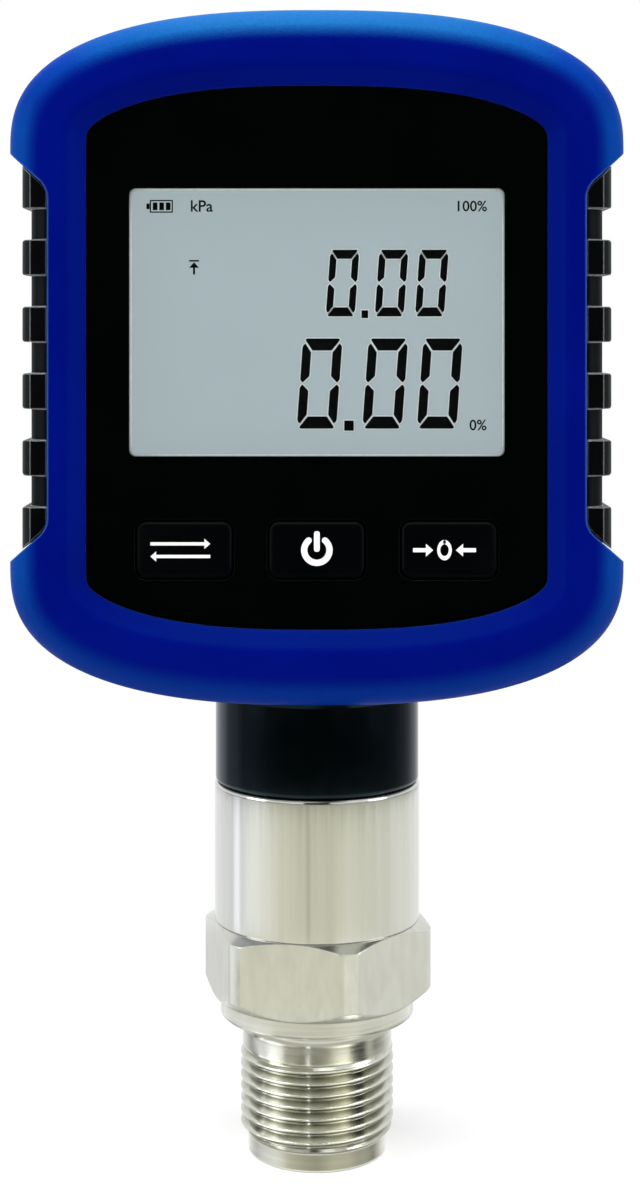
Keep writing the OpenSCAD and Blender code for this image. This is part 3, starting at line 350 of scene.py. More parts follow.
@dataclass(frozen=True)
class Finish:
    """What a surface is made of and how it was worked."""

    name: str
    colour: str
    roughness: float                        # its mean roughness
    edge_mm: float = 0.15                   # radius that its edges are broken to
    cloud: str = ""                         # colour that its patches go to, if it has any
    patch_mm: float = 9                     # size of its patches
    gloss_mm: float = 2.5                   # size of the patches in its gloss
    waver: tuple[float, float] = (0.85, 1.15)   # how far its roughness wavers
    grain_mm: float = 0.3                   # size of its grain
    depth_mm: float = 0.01                  # depth of its grain, if it has any
    lines: Vec3 = (1, 1, 1)                 # scale along each axis, small along drawn lines
    level: float = 0.5                      # strength of its plain reflection
    shine: float = 0                        # how much stronger that is on its edges
    painted_edge_highlight: str = ""                          # colour of a painted highlight on its edges, if any

    def material(self) -> bpy.types.Material:
        """The Blender material, made once and then shared.

        Returns:
            The material.
        """
        made = bpy.data.materials.get(self.name)
        if made is None:
            made = bpy.data.materials.new(self.name)
            tree = bare_tree(made)
            add_node(tree, "OutputMaterial", {"Surface": self.shade(tree)})
        return made

    def shade(self, tree: Tree) -> Socket:
        """Patchy colour, wavering gloss, grain; edges may shine more and carry a painted highlight.

        Args:
            tree: The material's tree.

        Returns:
            The shader.
        """
        where = self.place(tree, self.lines)
        low, high = (self.roughness * share for share in self.waver)
        inputs = {"Roughness": self.drift(tree, where, self.gloss_mm, low, high),
                  "Specular IOR Level": self.level}
        if self.depth_mm:
            inputs["Normal"] = self.relief(tree, where)
        colour = self.tone(tree, where, inputs.get("Normal"))
        edges = self.rims(tree) if self.painted_edge_highlight or self.shine else None
        # painted highlight: a paler colour mixed in along the broken edges
        if self.painted_edge_highlight:
            colour = add_node(tree, "Mix", {0: edges, 6: colour, 7: linear(self.painted_edge_highlight)}, 2,
                              data_type="RGBA")
        if self.shine:
            inputs["Specular IOR Level"] = add_node(
                tree, "MapRange",
                {"Value": edges, "To Min": self.level, "To Max": self.level + self.shine})
        return add_node(tree, "BsdfPrincipled",
                        {"Base Color": colour, **inputs, **self.optics(tree)})

    def optics(self, tree: Tree) -> dict[str, object]:
        """What the shader takes besides colour, roughness and relief."""
        return {}

    def pattern(self, tree: Tree, where: Socket) -> Socket:
        """The share of its second colour."""
        return self.drift(tree, where, self.patch_mm)

    def tone(self, tree: Tree, where: Socket, normal: Socket | None) -> object:
        """Its colour, mixed with the second one by its pattern.

        Args:
            tree: The material's tree.
            where: Place in millimetres.
            normal: The surface's normal, not used here.

        Returns:
            The colour.
        """
        if not self.cloud:
            return linear(self.colour)
        return add_node(tree, "Mix", {0: self.pattern(tree, where), 6: linear(self.colour),
                                      7: linear(self.cloud)}, 2, data_type="RGBA")

    def place(self, tree: Tree, stretch: Vec3 = (1, 1, 1)) -> Socket:
        """The surface's own place in millimetres, times a stretch along each axis."""
        where = add_node(tree, "TexCoord", out="Object")
        return add_node(tree, "Mapping", {"Vector": where, "Scale": [s / MM for s in stretch]})

    def drift(self, tree: Tree, where: Socket, size_mm: float, low: float = 0,
              high: float = 1) -> Socket:
        """A value that wanders from a low limit to a high one in patches of one size."""
        cloud = add_node(tree, "TexNoise", {"Vector": where, "Scale": 1 / size_mm, "Detail": 3.0})
        return add_node(tree, "MapRange", {"Value": cloud, "From Min": 0.3, "From Max": 0.7,
                                           "To Min": low, "To Max": high})

    def rims(self, tree: Tree) -> Socket:
        """One on a broken edge, where the rounded normal leaves the surface's own, else nought.

        Args:
            tree: The material's tree.

        Returns:
            The value.
        """
        edge = add_node(tree, "Bevel", {"Radius": self.edge_mm * MM}, samples=4)
        own = add_node(tree, "NewGeometry", out="Normal")
        alike = add_node(tree, "VectorMath", {0: edge, 1: own}, "Value", operation="DOT_PRODUCT")
        return add_node(tree, "MapRange", {"Value": alike, "From Min": 0.99, "From Max": 0.85})

    def relief(self, tree: Tree, where: Socket) -> Socket:
        """The normal of a grained surface with its edges broken.

        Args:
            tree: The material's tree.
            where: Place in millimetres.

        Returns:
            The normal.
        """
        edge = add_node(tree, "Bevel", {"Radius": self.edge_mm * MM}, samples=4)
        grain = add_node(tree, "TexNoise",
                         {"Vector": where, "Scale": 1 / self.grain_mm, "Detail": 2.0})
        return add_node(tree, "Bump", {"Height": grain, "Normal": edge, "Strength": 1.0,
                                       "Distance": self.depth_mm * MM})


@dataclass(frozen=True)
class MouldedRubber(Finish):
    """Thermoplastic rubber from a spark-eroded mould.

    The eye sees a dull skin with a fine even grain, slightly cloudy. Its outer faces carry a
    painted sheen: a paler colour where they are seen aslant, brighter on faces turned up as
    if lit from above. Its edges carry a painted highlight.
    """

    patch_mm: float = 14
    gloss_mm: float = 1.5
    waver: tuple[float, float] = (8 / 9, 17 / 15)
    grain_mm: float = 0.35
    depth_mm: float = 0.012
    level: float = 0.15
    middle: Vec3 = (0, 0, 0)                # the point that its outer faces turn away from
    painted_sheen: tuple[tuple[float, str], ...] = ()   # painted sheen colours, from 0 on faces turned down to 1 on those up

    def flat_way(self, tree: Tree, vector: Socket) -> Socket:
        """A vector's direction as seen from the front, without its depth."""
        flat = add_node(tree, "VectorMath", {0: vector, 1: (1, 0, 1)}, operation="MULTIPLY")
        return add_node(tree, "VectorMath", {0: flat}, operation="NORMALIZE")

    def outer(self, tree: Tree, where: Socket, normal: Socket) -> Socket:
        """Where the painted sheen goes: one on faces turned away from the middle, little on others.

        Args:
            tree: The material's tree.
            where: Place in millimetres.
            normal: The surface's normal.

        Returns:
            The value.
        """
        off = add_node(tree, "VectorMath", {0: where, 1: self.middle}, operation="SUBTRACT")
        turned = add_node(tree, "VectorMath", {0: self.flat_way(tree, off), 1: normal}, "Value",
                          operation="DOT_PRODUCT")
        return add_node(tree, "MapRange", {"Value": turned, "From Min": -0.1, "From Max": 0.3,
                                           "To Min": 0.06})

    def tone(self, tree: Tree, where: Socket, normal: Socket | None) -> object:
        """Cloudy colour with its painted sheen, paler aslant and on faces turned up.

        Args:
            tree: The material's tree.
            where: Place in millimetres.
            normal: The surface's normal.

        Returns:
            The colour.
        """
        # painted sheen: paler where the face is seen aslant, only on outer faces
        aslant = add_node(tree, "LayerWeight", {"Blend": 0.75, "Normal": normal}, "Facing")
        turned = add_node(tree, "MapRange", {"Value": aslant, "From Min": 0.1, "From Max": 0.4})
        specks = self.drift(tree, where, self.grain_mm * 1.5, 0.88, 1.06)
        speck = add_node(tree, "Math", {0: turned, 1: specks}, operation="MULTIPLY")
        share = add_node(tree, "Math", {0: speck, 1: self.outer(tree, where, normal)},
                         operation="MULTIPLY", use_clamp=True)
        # painted light from above: faces turned up take the brighter sheen colours
        height = add_node(tree, "SeparateXYZ", {0: self.flat_way(tree, normal)}, "Z")
        upward = add_node(tree, "MapRange", {"Value": height, "From Min": -1, "From Max": 1})
        bright = add_node(tree, "ValToRGB", {0: upward})
        stops = bright.node.color_ramp.elements
        stops[0].color, stops[1].color = linear(self.painted_sheen[0][1]), linear(self.painted_sheen[-1][1])
        for position, shown in self.painted_sheen[1:-1]:
            stops.new(position).color = linear(shown)
        skin = super().tone(tree, where, normal)
        return add_node(tree, "Mix", {0: share, 6: skin, 7: bright}, 2, data_type="RGBA")

    def optics(self, tree: Tree) -> dict[str, object]:
        """The soft tinted reflection of rubber."""
        return {"IOR": 1.35, "Specular Tint": linear(self.painted_sheen[-1][1])}


@dataclass(frozen=True)
class MouldedPlastic(Finish):
    """Injection-moulded plastic, textured or glossy.

    The eye sees an even colour with a fine grain from the mould, and a gloss that wavers
    slightly where the plastic sank as it cooled.
    """

    level: float = 0.4
    shine: float = 0.2
    coat: float = 0.0                       # strength of the polished skin over it
    tint: str = "#ffffff"                   # colour of its plain reflection
    painted_grazing_sheen: str = ""                          # painted sheen that it pales to where seen aslant, if any

    def tone(self, tree: Tree, where: Socket, normal: Socket | None) -> object:
        """Even colour that may pale to a painted sheen where it is seen aslant.

        Args:
            tree: The material's tree.
            where: Place in millimetres.
            normal: The surface's normal.

        Returns:
            The colour.
        """
        colour = super().tone(tree, where, normal)
        if not self.painted_grazing_sheen:
            return colour
        # painted sheen: the colour pales at grazing angles
        aslant = add_node(tree, "LayerWeight", {"Blend": 0.3, "Normal": normal}, "Facing")
        return add_node(tree, "Mix", {0: aslant, 6: colour, 7: linear(self.painted_grazing_sheen)}, 2,
                        data_type="RGBA")

    def optics(self, tree: Tree) -> dict[str, object]:
        """The reflection of plastic, and its polished skin."""
        return {"IOR": 1.52, "Coat Weight": self.coat, "Coat Roughness": 0.06,
                "Specular Tint": linear(self.tint)}


@dataclass(frozen=True)
class WorkedSteel(Finish):
    """Austenitic stainless steel, turned, milled or polished.

    The eye sees a pale warm grey metal. The tool or the polishing belt leaves fine lines one
    way, which draw out its highlights across them. The real feed of about 0.1 mm is too fine
    to show, so the lines lie wider.
    """

    patch_mm: float = 0.9
    gloss_mm: float = 0.3
    waver: tuple[float, float] = (0.7, 1.3)
    pull: float = 0.0                       # how far the lines draw a highlight out

    def optics(self, tree: Tree) -> dict[str, object]:
        """Bare metal, its highlights drawn out round the port."""
        turn = add_node(tree, "Tangent", direction_type="RADIAL", axis="Z")
        return {"Metallic": 1.0, "Anisotropic": self.pull, "Tangent": turn}


@dataclass(frozen=True)
class ThreadSteel(WorkedSteel):
    """A single-point cut thread in the same steel.

    The eye sees bright crests, with a darker grey-brown towards the roots.
    """

    root_mm: float = 9.08
    crest_mm: float = 10.0

    def pattern(self, tree: Tree, where: Socket) -> Socket:
        """A darker grey-brown towards the root, fading up the flank to the crest.

        Args:
            tree: The material's tree.
            where: Not used, as the darker colour doesn't follow the drawn lines.

        Returns:
            The share of the darker colour.
        """
        radius = add_node(tree, "VectorMath", {0: self.place(tree, (1, 1, 0))}, "Value",
                          operation="LENGTH")
        patchy = self.drift(tree, self.place(tree), 2.2, -0.12, 0.18)
        moved = add_node(tree, "Math", {0: radius, 1: patchy}, operation="SUBTRACT")
        return add_node(tree, "MapRange", {"Value": moved, "From Min": self.crest_mm - 0.12,
                                           "From Max": self.root_mm})


@dataclass(frozen=True)
class PlatedMetal(Finish):
    """Small metal parts: plated screws, drawn springs, stamped strip and turned brass.

    The eye sees a bright metal that is faintly mottled, with soft broken edges.
    """

    patch_mm: float = 0.8
    gloss_mm: float = 0.8
    waver: tuple[float, float] = (0.7, 1.3)
    grain_mm: float = 0.8 / 3
    depth_mm: float = 0.004

    def optics(self, tree: Tree) -> dict[str, object]:
        """Bare metal."""
        return {"Metallic": 1.0}


@dataclass(frozen=True)
class ClearSheet(Finish):
    """Clear acrylic or glass, thin enough to see straight through.

    The eye sees what lies behind, a touch darker, under a clean reflection.
    """

    gloss_mm: float = 6
    waver: tuple[float, float] = (0.6, 1.4)
    depth_mm: float = 0
    alpha: float = 0.12                     # share of the light that the sheet gives back

    def optics(self, tree: Tree) -> dict[str, object]:
        """A sheet that is mostly seen through."""
        return {"IOR": 1.49, "Alpha": self.alpha}


@dataclass(frozen=True)
class DisplayFilm(Finish):
    """The polarising film of a lit liquid crystal display.

    The eye sees an even pale blue-grey that is lit from behind, with the finest mottle.
    """

    patch_mm: float = 11
    gloss_mm: float = 0.4
    waver: tuple[float, float] = (0.8, 1.2)
    depth_mm: float = 0
    level: float = 0.2
    glow_colour: str = "#a0b2b6"            # colour of the light from behind
    glow: float = 0.2                       # strength of that light

    def optics(self, tree: Tree) -> dict[str, object]:
        """The light from behind."""
        return {"Emission Color": linear(self.glow_colour), "Emission Strength": self.glow}


@dataclass(frozen=True)
class PrintedInk(Finish):
    """Pad-printed ink, or the dark crystal of a display's segments.

    The eye sees one flat colour whose density wavers a little.
    """

    patch_mm: float = 0.5
    gloss_mm: float = 0.5
    depth_mm: float = 0
    level: float = 0.3


@dataclass(frozen=True)
class LinedSheet(Finish):
    """Sheet or strip with straight lines across it: a circuit board or a contact strip.

    The eye sees the base colour crossed by slightly raised lines of a second one, as copper
    tracks under a solder mask or as the layers of a striped contact rubber.
    """

    gloss_mm: float = 1
    waver: tuple[float, float] = (0.8, 1.2)
    depth_mm: float = 0.03
    pitch_mm: float = 1.3                   # spacing of the lines
    share: float = 0.4                      # share of the pitch that a line takes

    def pattern(self, tree: Tree, where: Socket) -> Socket:
        """One on a line across X, which stops and starts along Z.

        Args:
            tree: The material's tree.
            where: Place in millimetres.

        Returns:
            The value.
        """
        wave = add_node(tree, "TexWave", {"Vector": where, "Scale": FULL_TURN / 20 / self.pitch_mm},
                        1, bands_direction="X")
        runs = self.drift(tree, self.place(tree, (1, 1, 0.15)), self.pitch_mm * 2, -0.4, 0.4)
        height = add_node(tree, "Math", {0: wave, 1: runs})
        return add_node(tree, "Math", {0: height, 1: 1 - self.share}, operation="GREATER_THAN")

    def relief(self, tree: Tree, where: Socket) -> Socket:
        """The normal of the raised lines."""
        return add_node(tree, "Bump", {"Height": self.pattern(tree, where),
                                       "Distance": self.depth_mm * MM})


class Look(Enum):
    """The finishes of this gauge. Comments say what each one gives the eye."""

    # Blue elastomer boot: deep navy face on, with a painted azure sheen where it is seen
    # aslant and faces up, and painted highlights on its edges
    BOOT = MouldedRubber("blue_elastomer_eroded_mould", "#010d6f", 0.45, 0.4, "#010a67",
                         painted_sheen=((0, "#012676"), (0.3, "#022d7c"), (0.55, "#033a8a"),
                                (0.75, "#022d82"), (0.93, "#02338c"), (0.985, "#094f98"),
                                (1, "#165f9f")),
                         painted_edge_highlight="#4468b4", middle=(0, 0, 103.7), level=0.05)
    # Black ABS case with a fine eroded texture, nearly black, with a painted grey sheen where
    # seen aslant and painted highlights on its edges
    CASE = MouldedPlastic("black_abs_eroded_mould", "#030404", 0.34, 0.25, "#060707",
                          depth_mm=0.008, level=0.02, shine=0.9, painted_grazing_sheen="#182023", painted_edge_highlight="#9aa0a2")
    # The door of the same plastic, with weaker shine on its edges and no painted highlight
    DOOR = MouldedPlastic("black_abs_door", "#040505", 0.36, 0.25, "#070808", depth_mm=0.008,
                          level=0.05, shine=0.5)
    # Gloss acrylic face with black behind it, the smoothest surface of the head
    PANEL = MouldedPlastic("gloss_black_acrylic_face", "#010202", 0.08, 0.12, "#020303",
                           grain_mm=6, depth_mm=0.003, level=0.2)
    # Key caps of satin black polycarbonate, a shade lighter than the face
    KEY = MouldedPlastic("satin_black_polycarbonate_keys", "#020304", 0.2, 0.15, "#030405",
                         grain_mm=0.35, depth_mm=0.0015, level=0.02, shine=0.08)
    # Turned black acetal neck: deep black with a soft cool gloss at its sides
    COLLAR = MouldedPlastic("turned_black_acetal", "#000101", 0.08, 0.2, "#010201",
                            grain_mm=0.5, depth_mm=0.001, shine=0, tint="#b4e6ff")
    # Clear acrylic window over the display
    WINDOW = ClearSheet("clear_acrylic_window", "#101416", 0.05, alpha=0.1)
    # Soda-lime glass of the display cell
    GLASS = ClearSheet("display_cell_glass", "#b4c2c4", 0.04, alpha=0.5)
    # Pale polarising film with the backlight behind it
    FILM = DisplayFilm("lit_polarising_film", "#41484a", 0.5, cloud="#3d4446",
                       glow_colour="#a7b6ba", glow=1.06)
    # Dark crystal of the lit segments
    SEGMENT = PrintedInk("dark_liquid_crystal", "#030404", 0.4, cloud="#060707", level=0.03)
    # Pale fringe that the crystal leaves round each dark segment
    FRINGE = PrintedInk("pale_segment_fringe", "#e2eaea", 0.4, cloud="#d6e0e0")
    # White pad-printed legends of the keys
    LEGEND = PrintedInk("white_pad_print", "#f6f6f4", 0.45, cloud="#ececea")
    # Polished tube: near-white with faint upright streaks from the polishing belt
    TUBE = WorkedSteel("belt_polished_stainless", "#d2d4cf", 0.11, 0.2, "#cacbc4", 1.8, 0.6,
                       grain_mm=0.6, depth_mm=0.0008, lines=(1, 1, 0.015), pull=0.2)
    # Lathe-turned disc, band and spigot: fine rings round the port
    TURNED = WorkedSteel("lathe_turned_stainless", "#d0d1c9", 0.17, 0.2, "#c2c2b8",
                         depth_mm=0.0015, lines=(0.03, 0.03, 1), pull=0.3)
    # Milled flats of the hexagon: short scratches from the cutter and the spanner
    MILLED = WorkedSteel("milled_stainless_flats", "#d2d4cd", 0.17, 0.25, "#c9cac2", 1.5, 0.5,
                         grain_mm=0.5, depth_mm=0.0009, lines=(0.9, 0.9, 0.35))
    # Cut thread: bright crests over grey-brown roots
    THREAD = ThreadSteel("cut_thread_stainless", "#d2d3c9", 0.16, 0.1, "#98988c",
                         depth_mm=0.001, lines=(0.04, 0.04, 1))
    # Zinc-plated screws and nut
    SCREW = PlatedMetal("zinc_plated_steel", "#a9abad", 0.3, 0.12, "#8f9194")
    # Nickel-plated spring wire and contact strip
    NICKEL = PlatedMetal("nickel_plated_spring_steel", "#cfcdc6", 0.2, 0.08, "#b1aea6")
    # Turned and knurled brass inserts and pins
    BRASS = PlatedMetal("turned_brass", "#c9a35a", 0.28, 0.1, "#a9853f")
    # Drawn aluminium cans of the capacitors
    CAN = PlatedMetal("drawn_aluminium", "#c8c9cb", 0.3, 0.1, "#aeb0b3")
    # Plain heat-shrunk sleeve of a battery cell, with no print
    SLEEVE = MouldedPlastic("heat_shrunk_cell_sleeve", "#a8741f", 0.22, 0.2, "#96651a",
                            grain_mm=2.5, depth_mm=0.015, coat=0.4, level=0.5)
    # Black nitrile and silicone seals, matt, with a paler painted sheen where seen aslant
    # and painted highlights on their edges
    SEAL = MouldedRubber("nitrile_seal", "#121213", 0.6, 0.1, "#1b1b1c", waver=(11 / 12, 1.1),
                         grain_mm=0.25, depth_mm=0.006, painted_sheen=((0, "#343436"), (1, "#4a4a4c")),
                         painted_edge_highlight="#4a4a4c")
    # Red sleeve of the wires, smooth and slightly waxy
    WIRE = MouldedPlastic("red_wire_sleeve", "#9c1a16", 0.35, 0.05, "#881410", grain_mm=0.5,
                          depth_mm=0.003, level=0.5)
    # Off-white nylon and polycarbonate fittings
    NYLON = MouldedPlastic("offwhite_nylon", "#dcd9cf", 0.4, 0.1, "#d0cdc2", grain_mm=0.4,
                           depth_mm=0.005)
    # White light guide behind the display
    GUIDE = MouldedPlastic("white_light_guide", "#e8ebeb", 0.25, 0.1, "#dfe3e4", grain_mm=0.8,
                           depth_mm=0.003, coat=0.2)
    # Moulded black epoxy of chips and switches
    EPOXY = MouldedPlastic("black_moulded_epoxy", "#17181a", 0.5, 0.08, "#1e1f21",
                           grain_mm=0.15, depth_mm=0.006)
    # Green solder mask over copper tracks
    BOARD = LinedSheet("solder_masked_board", "#0b4a26", 0.35, cloud="#146636", pitch_mm=1.4,
                       share=0.42)
    # Striped contact rubber: carbon layers between clear ones
    ZEBRA = LinedSheet("striped_contact_rubber", "#b89aa2", 0.55, cloud="#26191d",
                       pitch_mm=0.5, share=0.5, level=0.3)


def dress(piece: Piece, look: Look) -> None:
    """Gives a whole piece one finish."""
    piece.data.materials.clear()
    piece.data.materials.append(look.value.material())


def repaint(piece: Piece, which: Points, *looks: Look) -> None:
    """Gives some faces further finishes.

    Args:
        piece: The piece, dressed already.
        which: For each face the number of its further finish, or 0 where it keeps its own.
        *looks: The further finishes, from number 1.
    """
    for look in looks:
        piece.data.materials.append(look.value.material())
    piece.data.polygons.foreach_set("material_index", which.astype(np.int32))
    piece.data.update()


def finish_piece(piece: Piece, look: Look, body: str = "gauge",
                 replaces: Sequence[str] = ()) -> None:
    """Dresses a new piece, lets it ride on its body and hides the CAD nodes that it stands for.

    Args:
        piece: The object.
        look: Its finish.
        body: The body that it moves with.
        replaces: CAD nodes that it stands for.
    """
    dress(piece, look)
    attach(piece, body)
    if replaces:
        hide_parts(*replaces)
    log.info("%s: %s on %s, %d faces", piece.name, look.name.lower(), body,
             len(piece.data.polygons))


def finish_copies(*rows: tuple[str, str, Look, str, str]) -> None:
    """Finishes a copy of each CAD node, given name, node, look, body and slot."""
    for name, node, look, body, slot in rows:
        finish_piece(refined(name, node), look, body)


# ---- the head ----
@dataclass(frozen=True)
class HeadOutline:
    """The head's outline: a straight side under a superellipse corner."""

    width: float = 76.6                     # over the boot
    height: float = 86.8                    # over the boot
    corner: float = 17.5                    # height of a curved corner
    power: float = 2.55                     # squareness of the corner, where 2 is an ellipse
    centre_z: float = 103.7
    steps: int = 80                         # points on a quarter of the outline

    def rings(self, profile: Points) -> Points:
        """The outline at each inset and depth of a profile.

        A point of the corner is (a cos(t)^(2/p), c sin(t)^(2/p)). It is moved inwards along
        the normal of that curve, and then mirrored to the other three corners.

        Args:
            profile: Inset from the outline, and Y, of each row.

        Returns:
            A grid of points: a row for each row of the profile.
        """
        t = np.linspace(0, QUARTER, self.steps + 1)
        share = np.clip(np.stack([np.cos(t), np.sin(t)], -1), 0, 1) ** (2 / self.power)
        size = np.array([self.width / 2, self.corner])
        inwards = -unit(share ** (self.power - 1) / size)
        lift = np.array([0, self.height / 2 - self.corner])
        corner = size * share + profile[:, :1, None] * inwards + lift
        turns = [(corner * way)[:, ::-1 if k % 2 else 1] for k, way in enumerate(CORNERS)]
        loop = np.concatenate(turns, axis=1)
        y = np.broadcast_to(profile[:, 1:], loop.shape[:2])
        return np.stack([loop[..., 0], y, loop[..., 1] + self.centre_z], -1)


@dataclass
class Boot:
    """The blue rubber boot: a lipped band round the head, open at its sides."""

    outline: HeadOutline = field(default_factory=HeadOutline)
    front: float = -18.0                    # Y of its highest point in front
    back: float = 17.0                      # Y of its back lip
    crown: float = 5.25                     # inset where the front shoulder starts
    shoulder_depth: float = 5.53            # depth of the front shoulder
    fullness: float = 0.757                 # of the front shoulder, where 1 is an ellipse
    lead: float = 0.07                      # how far behind the highest point it starts
    shoulder: float = 3.2                   # inset where the back shoulder ends
    back_depth: float = 5.6                 # depth of the back shoulder
    case_edge: float = 3.2                  # radius of the case's edges inside it
    case_inset: float = 5.5                 # inset of the centre of those edges' curve
    case_depth: float = 15.4                # Y of the case's faces, either way
    window_x: float = 33.1                  # X of the side windows' upright edge
    window_low: float = 20.98               # half height of that edge
    window_slope: float = 41.0              # slope of the windows' ends, in degrees
    window_fillet: float = 3.0              # radius of their inner corners
    beyond: float = 3.0                     # how far a window's cut runs past the side
    neck_r: float = 13.5                    # radius of the bore round the neck

    def profile(self) -> Points:
        """The section of the band as insets and Y, closed.

        Its front shoulder runs from the crown round to the side, at crown (1 - sin a) inwards
        and depth cos(a)^fullness forwards. Its back shoulder is a quarter of an ellipse, and
        its inner side follows the case's rounded edges.

        Returns:
            The points of the section.
        """
        a = np.linspace(0, QUARTER, 32)
        fall = self.shoulder_depth * (1 - np.cos(a) ** self.fullness)
        front_arc = np.stack([self.crown * (1 - np.sin(a)), self.front + self.lead + fall], -1)
        back_arc = np.stack([self.shoulder * (1 - np.cos(a)),
                             self.back - self.back_depth * (1 - np.sin(a))], -1)
        bend = np.linspace(QUARTER, math.pi, 9)
        rear = self.case_edge * np.stack([np.cos(bend), np.sin(bend)], -1)
        rear += [self.case_inset, self.case_depth - self.case_edge]
        outside, inside = (np.insert(np.concatenate(arcs), 2, 0, axis=1) for arcs in (
            (front_arc, back_arc), (rear, rear[::-1] * [1, -1])))
        return softened([(9.7, -self.case_depth, 0), (9.7, -15.88, 0.3), (7.3, self.front, 0.75),
                         *outside, (6.2, self.back, 0.5), (6.2, self.case_depth, 0), *inside],
                        hold=0.05)

    def window(self) -> Points:
        """One side window as X and height above the head's centre, a closed outline.

        Returns:
            The corners of the cut on the right side.
        """
        slope, fillet = math.radians(self.window_slope), self.window_fillet
        reach = fillet * math.tan((QUARTER - slope) / 2)
        a = np.linspace(math.pi, QUARTER + slope, 8)
        bend = np.stack([self.window_x + fillet * (1 + np.cos(a)),
                         self.window_low - reach + fillet * np.sin(a)], -1)
        run = self.outline.width / 2 + self.beyond
        tip = np.array([[run, self.window_low + (run - self.window_x) * math.tan(slope)]])
        upper = np.concatenate([bend, tip])
        return np.concatenate([upper, upper[::-1] * [1, -1]])

    def build(self) -> None:
        """Makes the band and cuts the side windows and the neck out of it."""
        name, sharp = "rubber_boot_skin", 35
        band = grid_mesh(name, self.outline.rings(self.profile()), sharp=sharp)
        lift = [0, self.outline.centre_z]
        sides = [self.window() + lift, (self.window() * [-1, 1])[::-1] + lift]
        cuts = [prisms("cut_windows", sides, self.front - 2, self.back + 2),
                revolve("cut_neck", box(0.01, self.neck_r, 55, 80), 192)]
        for cut in cuts:
            tool = band.modifiers.new(cut.name, "BOOLEAN")
            tool.object, tool.operation, tool.solver = cut, "DIFFERENCE", "EXACT"
        evaluated = band.evaluated_get(bpy.context.evaluated_depsgraph_get())
        mesh = bpy.data.meshes.new_from_object(evaluated)
        for spent in (band, *cuts):
            bpy.data.objects.remove(spent)
        boot = smooth(name, mesh, sharp)
        weigh(boot)
        finish_piece(boot, Look.BOOT, replaces=["rubber_boot"])


class KeyMark(Enum):
    """What is printed on a key."""

    SWAP = "two arrows past each other"
    POWER = "a ring with a bar"
    ZERO = "two arrows to a nought"


@dataclass
class Key:
    """One key with its printed mark."""

    name: str                               # name of its CAD node
    body: str                               # name of its body
    x: float                                # its centre
    mark: KeyMark
    shift: float                            # X of the mark's centre on it
    z: float = 79.9                         # height of its centre
    width: float = 11.8                     # of the cap
    height: float = 7.0
    corner: float = 1.2                     # radius of the cap's corners
    rim: float = 0.45                       # radius of its rounded rim
    face: float = -15.6                     # Y of its face
    flange: float = 0.6                     # width of the flange that keeps it in
    flange_front: float = -12.2             # Y of the flange's front
    flange_back: float = -11.2              # Y of its back

    def rings(self) -> Points:
        """The cap as rounded rectangles at insets and depths.

        A corner's points are its centre plus (radius - inset) (cos a, sin a). Insets and
        depths run from the back of the flange over the rounded rim to the face.

        Returns:
            A grid of points, a row for each ring.
        """
        a = np.linspace(0, QUARTER, 7)
        over = np.stack([self.rim * (1 - np.cos(a)), self.face + self.rim * (1 - np.sin(a))], -1)
        stack = np.array([(-self.flange, self.flange_back), (-self.flange, self.flange_front),
                          (0, self.flange_front), *over])
        quarter = np.linspace(0, QUARTER, 9)
        angle = (np.arange(4)[:, None] * QUARTER + quarter).ravel()
        centre = np.repeat(CORNERS, quarter.size, axis=0) * [self.width / 2 - self.corner,
                                                             self.height / 2 - self.corner]
        radius = np.maximum(self.corner - stack[:, :1], 0.05)
        x = self.x + centre[:, 0] + radius * np.cos(angle)
        z = self.z + centre[:, 1] + radius * np.sin(angle)
        return np.stack([x, stack[:, 1:] + 0 * x, z], -1)

    def arrow(self, x: float, z: float, length: float, head: float) -> Points:
        """An arrow in X and Z that points along +X, or along -X where its length is negative.

        Args:
            x: X of its tail.
            z: Its height.
            length: Its length.
            head: Half height of its head.

        Returns:
            Its corners.
        """
        neck, half = abs(length) - 1.15 * head, 0.32 * head
        corners = [(0, -half), (neck, -half), (neck, -head), (abs(length), 0), (neck, head),
                   (neck, half), (0, half)]
        return np.array(corners) * math.copysign(1, length) + [x, z]

    def ring(self, outer: float, stroke: float, opening: float, squash: float) -> Points:
        """A ring stroke with round ends, open at the top by an angle either way.

        Its middle line is r (sin a, cos a) and its ends are half circles.

        Args:
            outer: Outer radius.
            stroke: Width of the stroke.
            opening: Half of the opening, in degrees.
            squash: Width of the ring against its height.

        Returns:
            Its outline.
        """
        a = np.linspace(math.radians(opening), FULL_TURN - math.radians(opening), 49)
        way = np.stack([np.sin(a), np.cos(a)], -1)
        cap = np.linspace(0, math.pi, 9)[1:-1, None]
        half = stroke / 2
        middle = outer - half
        first, last = (middle * n + side * half * (np.cos(cap) * n + np.sin(cap) * [n[1], -n[0]])
                       for n, side in ((way[-1], 1), (way[0], -1)))
        ring = [(middle + half) * way, first, (middle - half) * way[::-1], last]
        return np.concatenate(ring) * [squash, 1]

    def print_outlines(self) -> list[Points]:
        """The printed mark as flat outlines about the key's centre.

        Returns:
            The outlines.
        """
        if self.mark is KeyMark.SWAP:
            return [self.arrow(-3.7, 0.78, 7.4, 0.62), self.arrow(3.7, -0.78, -7.4, 0.62)]
        if self.mark is KeyMark.POWER:
            bar = softened([(-0.36, 2.35, 0.34), (-0.36, -0.2, 0.34), (0.36, -0.2, 0.34),
                            (0.36, 2.35, 0.34)])
            return [self.ring(1.95, 0.77, 40, 1), bar]
        nought = self.ring(1.25, 0.52, 0.5, 0.72)
        return [self.arrow(-3.9, 0, 2.5, 0.78), nought, self.arrow(3.9, 0, -2.5, 0.78)]

    def build(self) -> None:
        """Makes the cap and prints its mark on it."""
        cap = stacks(self.name + "_cap", [self.rings()])
        finish_piece(cap, Look.KEY, self.body, [self.name])
        outlines = [o + [self.x + self.shift, self.z] for o in self.print_outlines()]
        mark = prisms(self.name + "_print", outlines, self.face - 0.02, self.face)
        finish_piece(mark, Look.LEGEND, self.body)


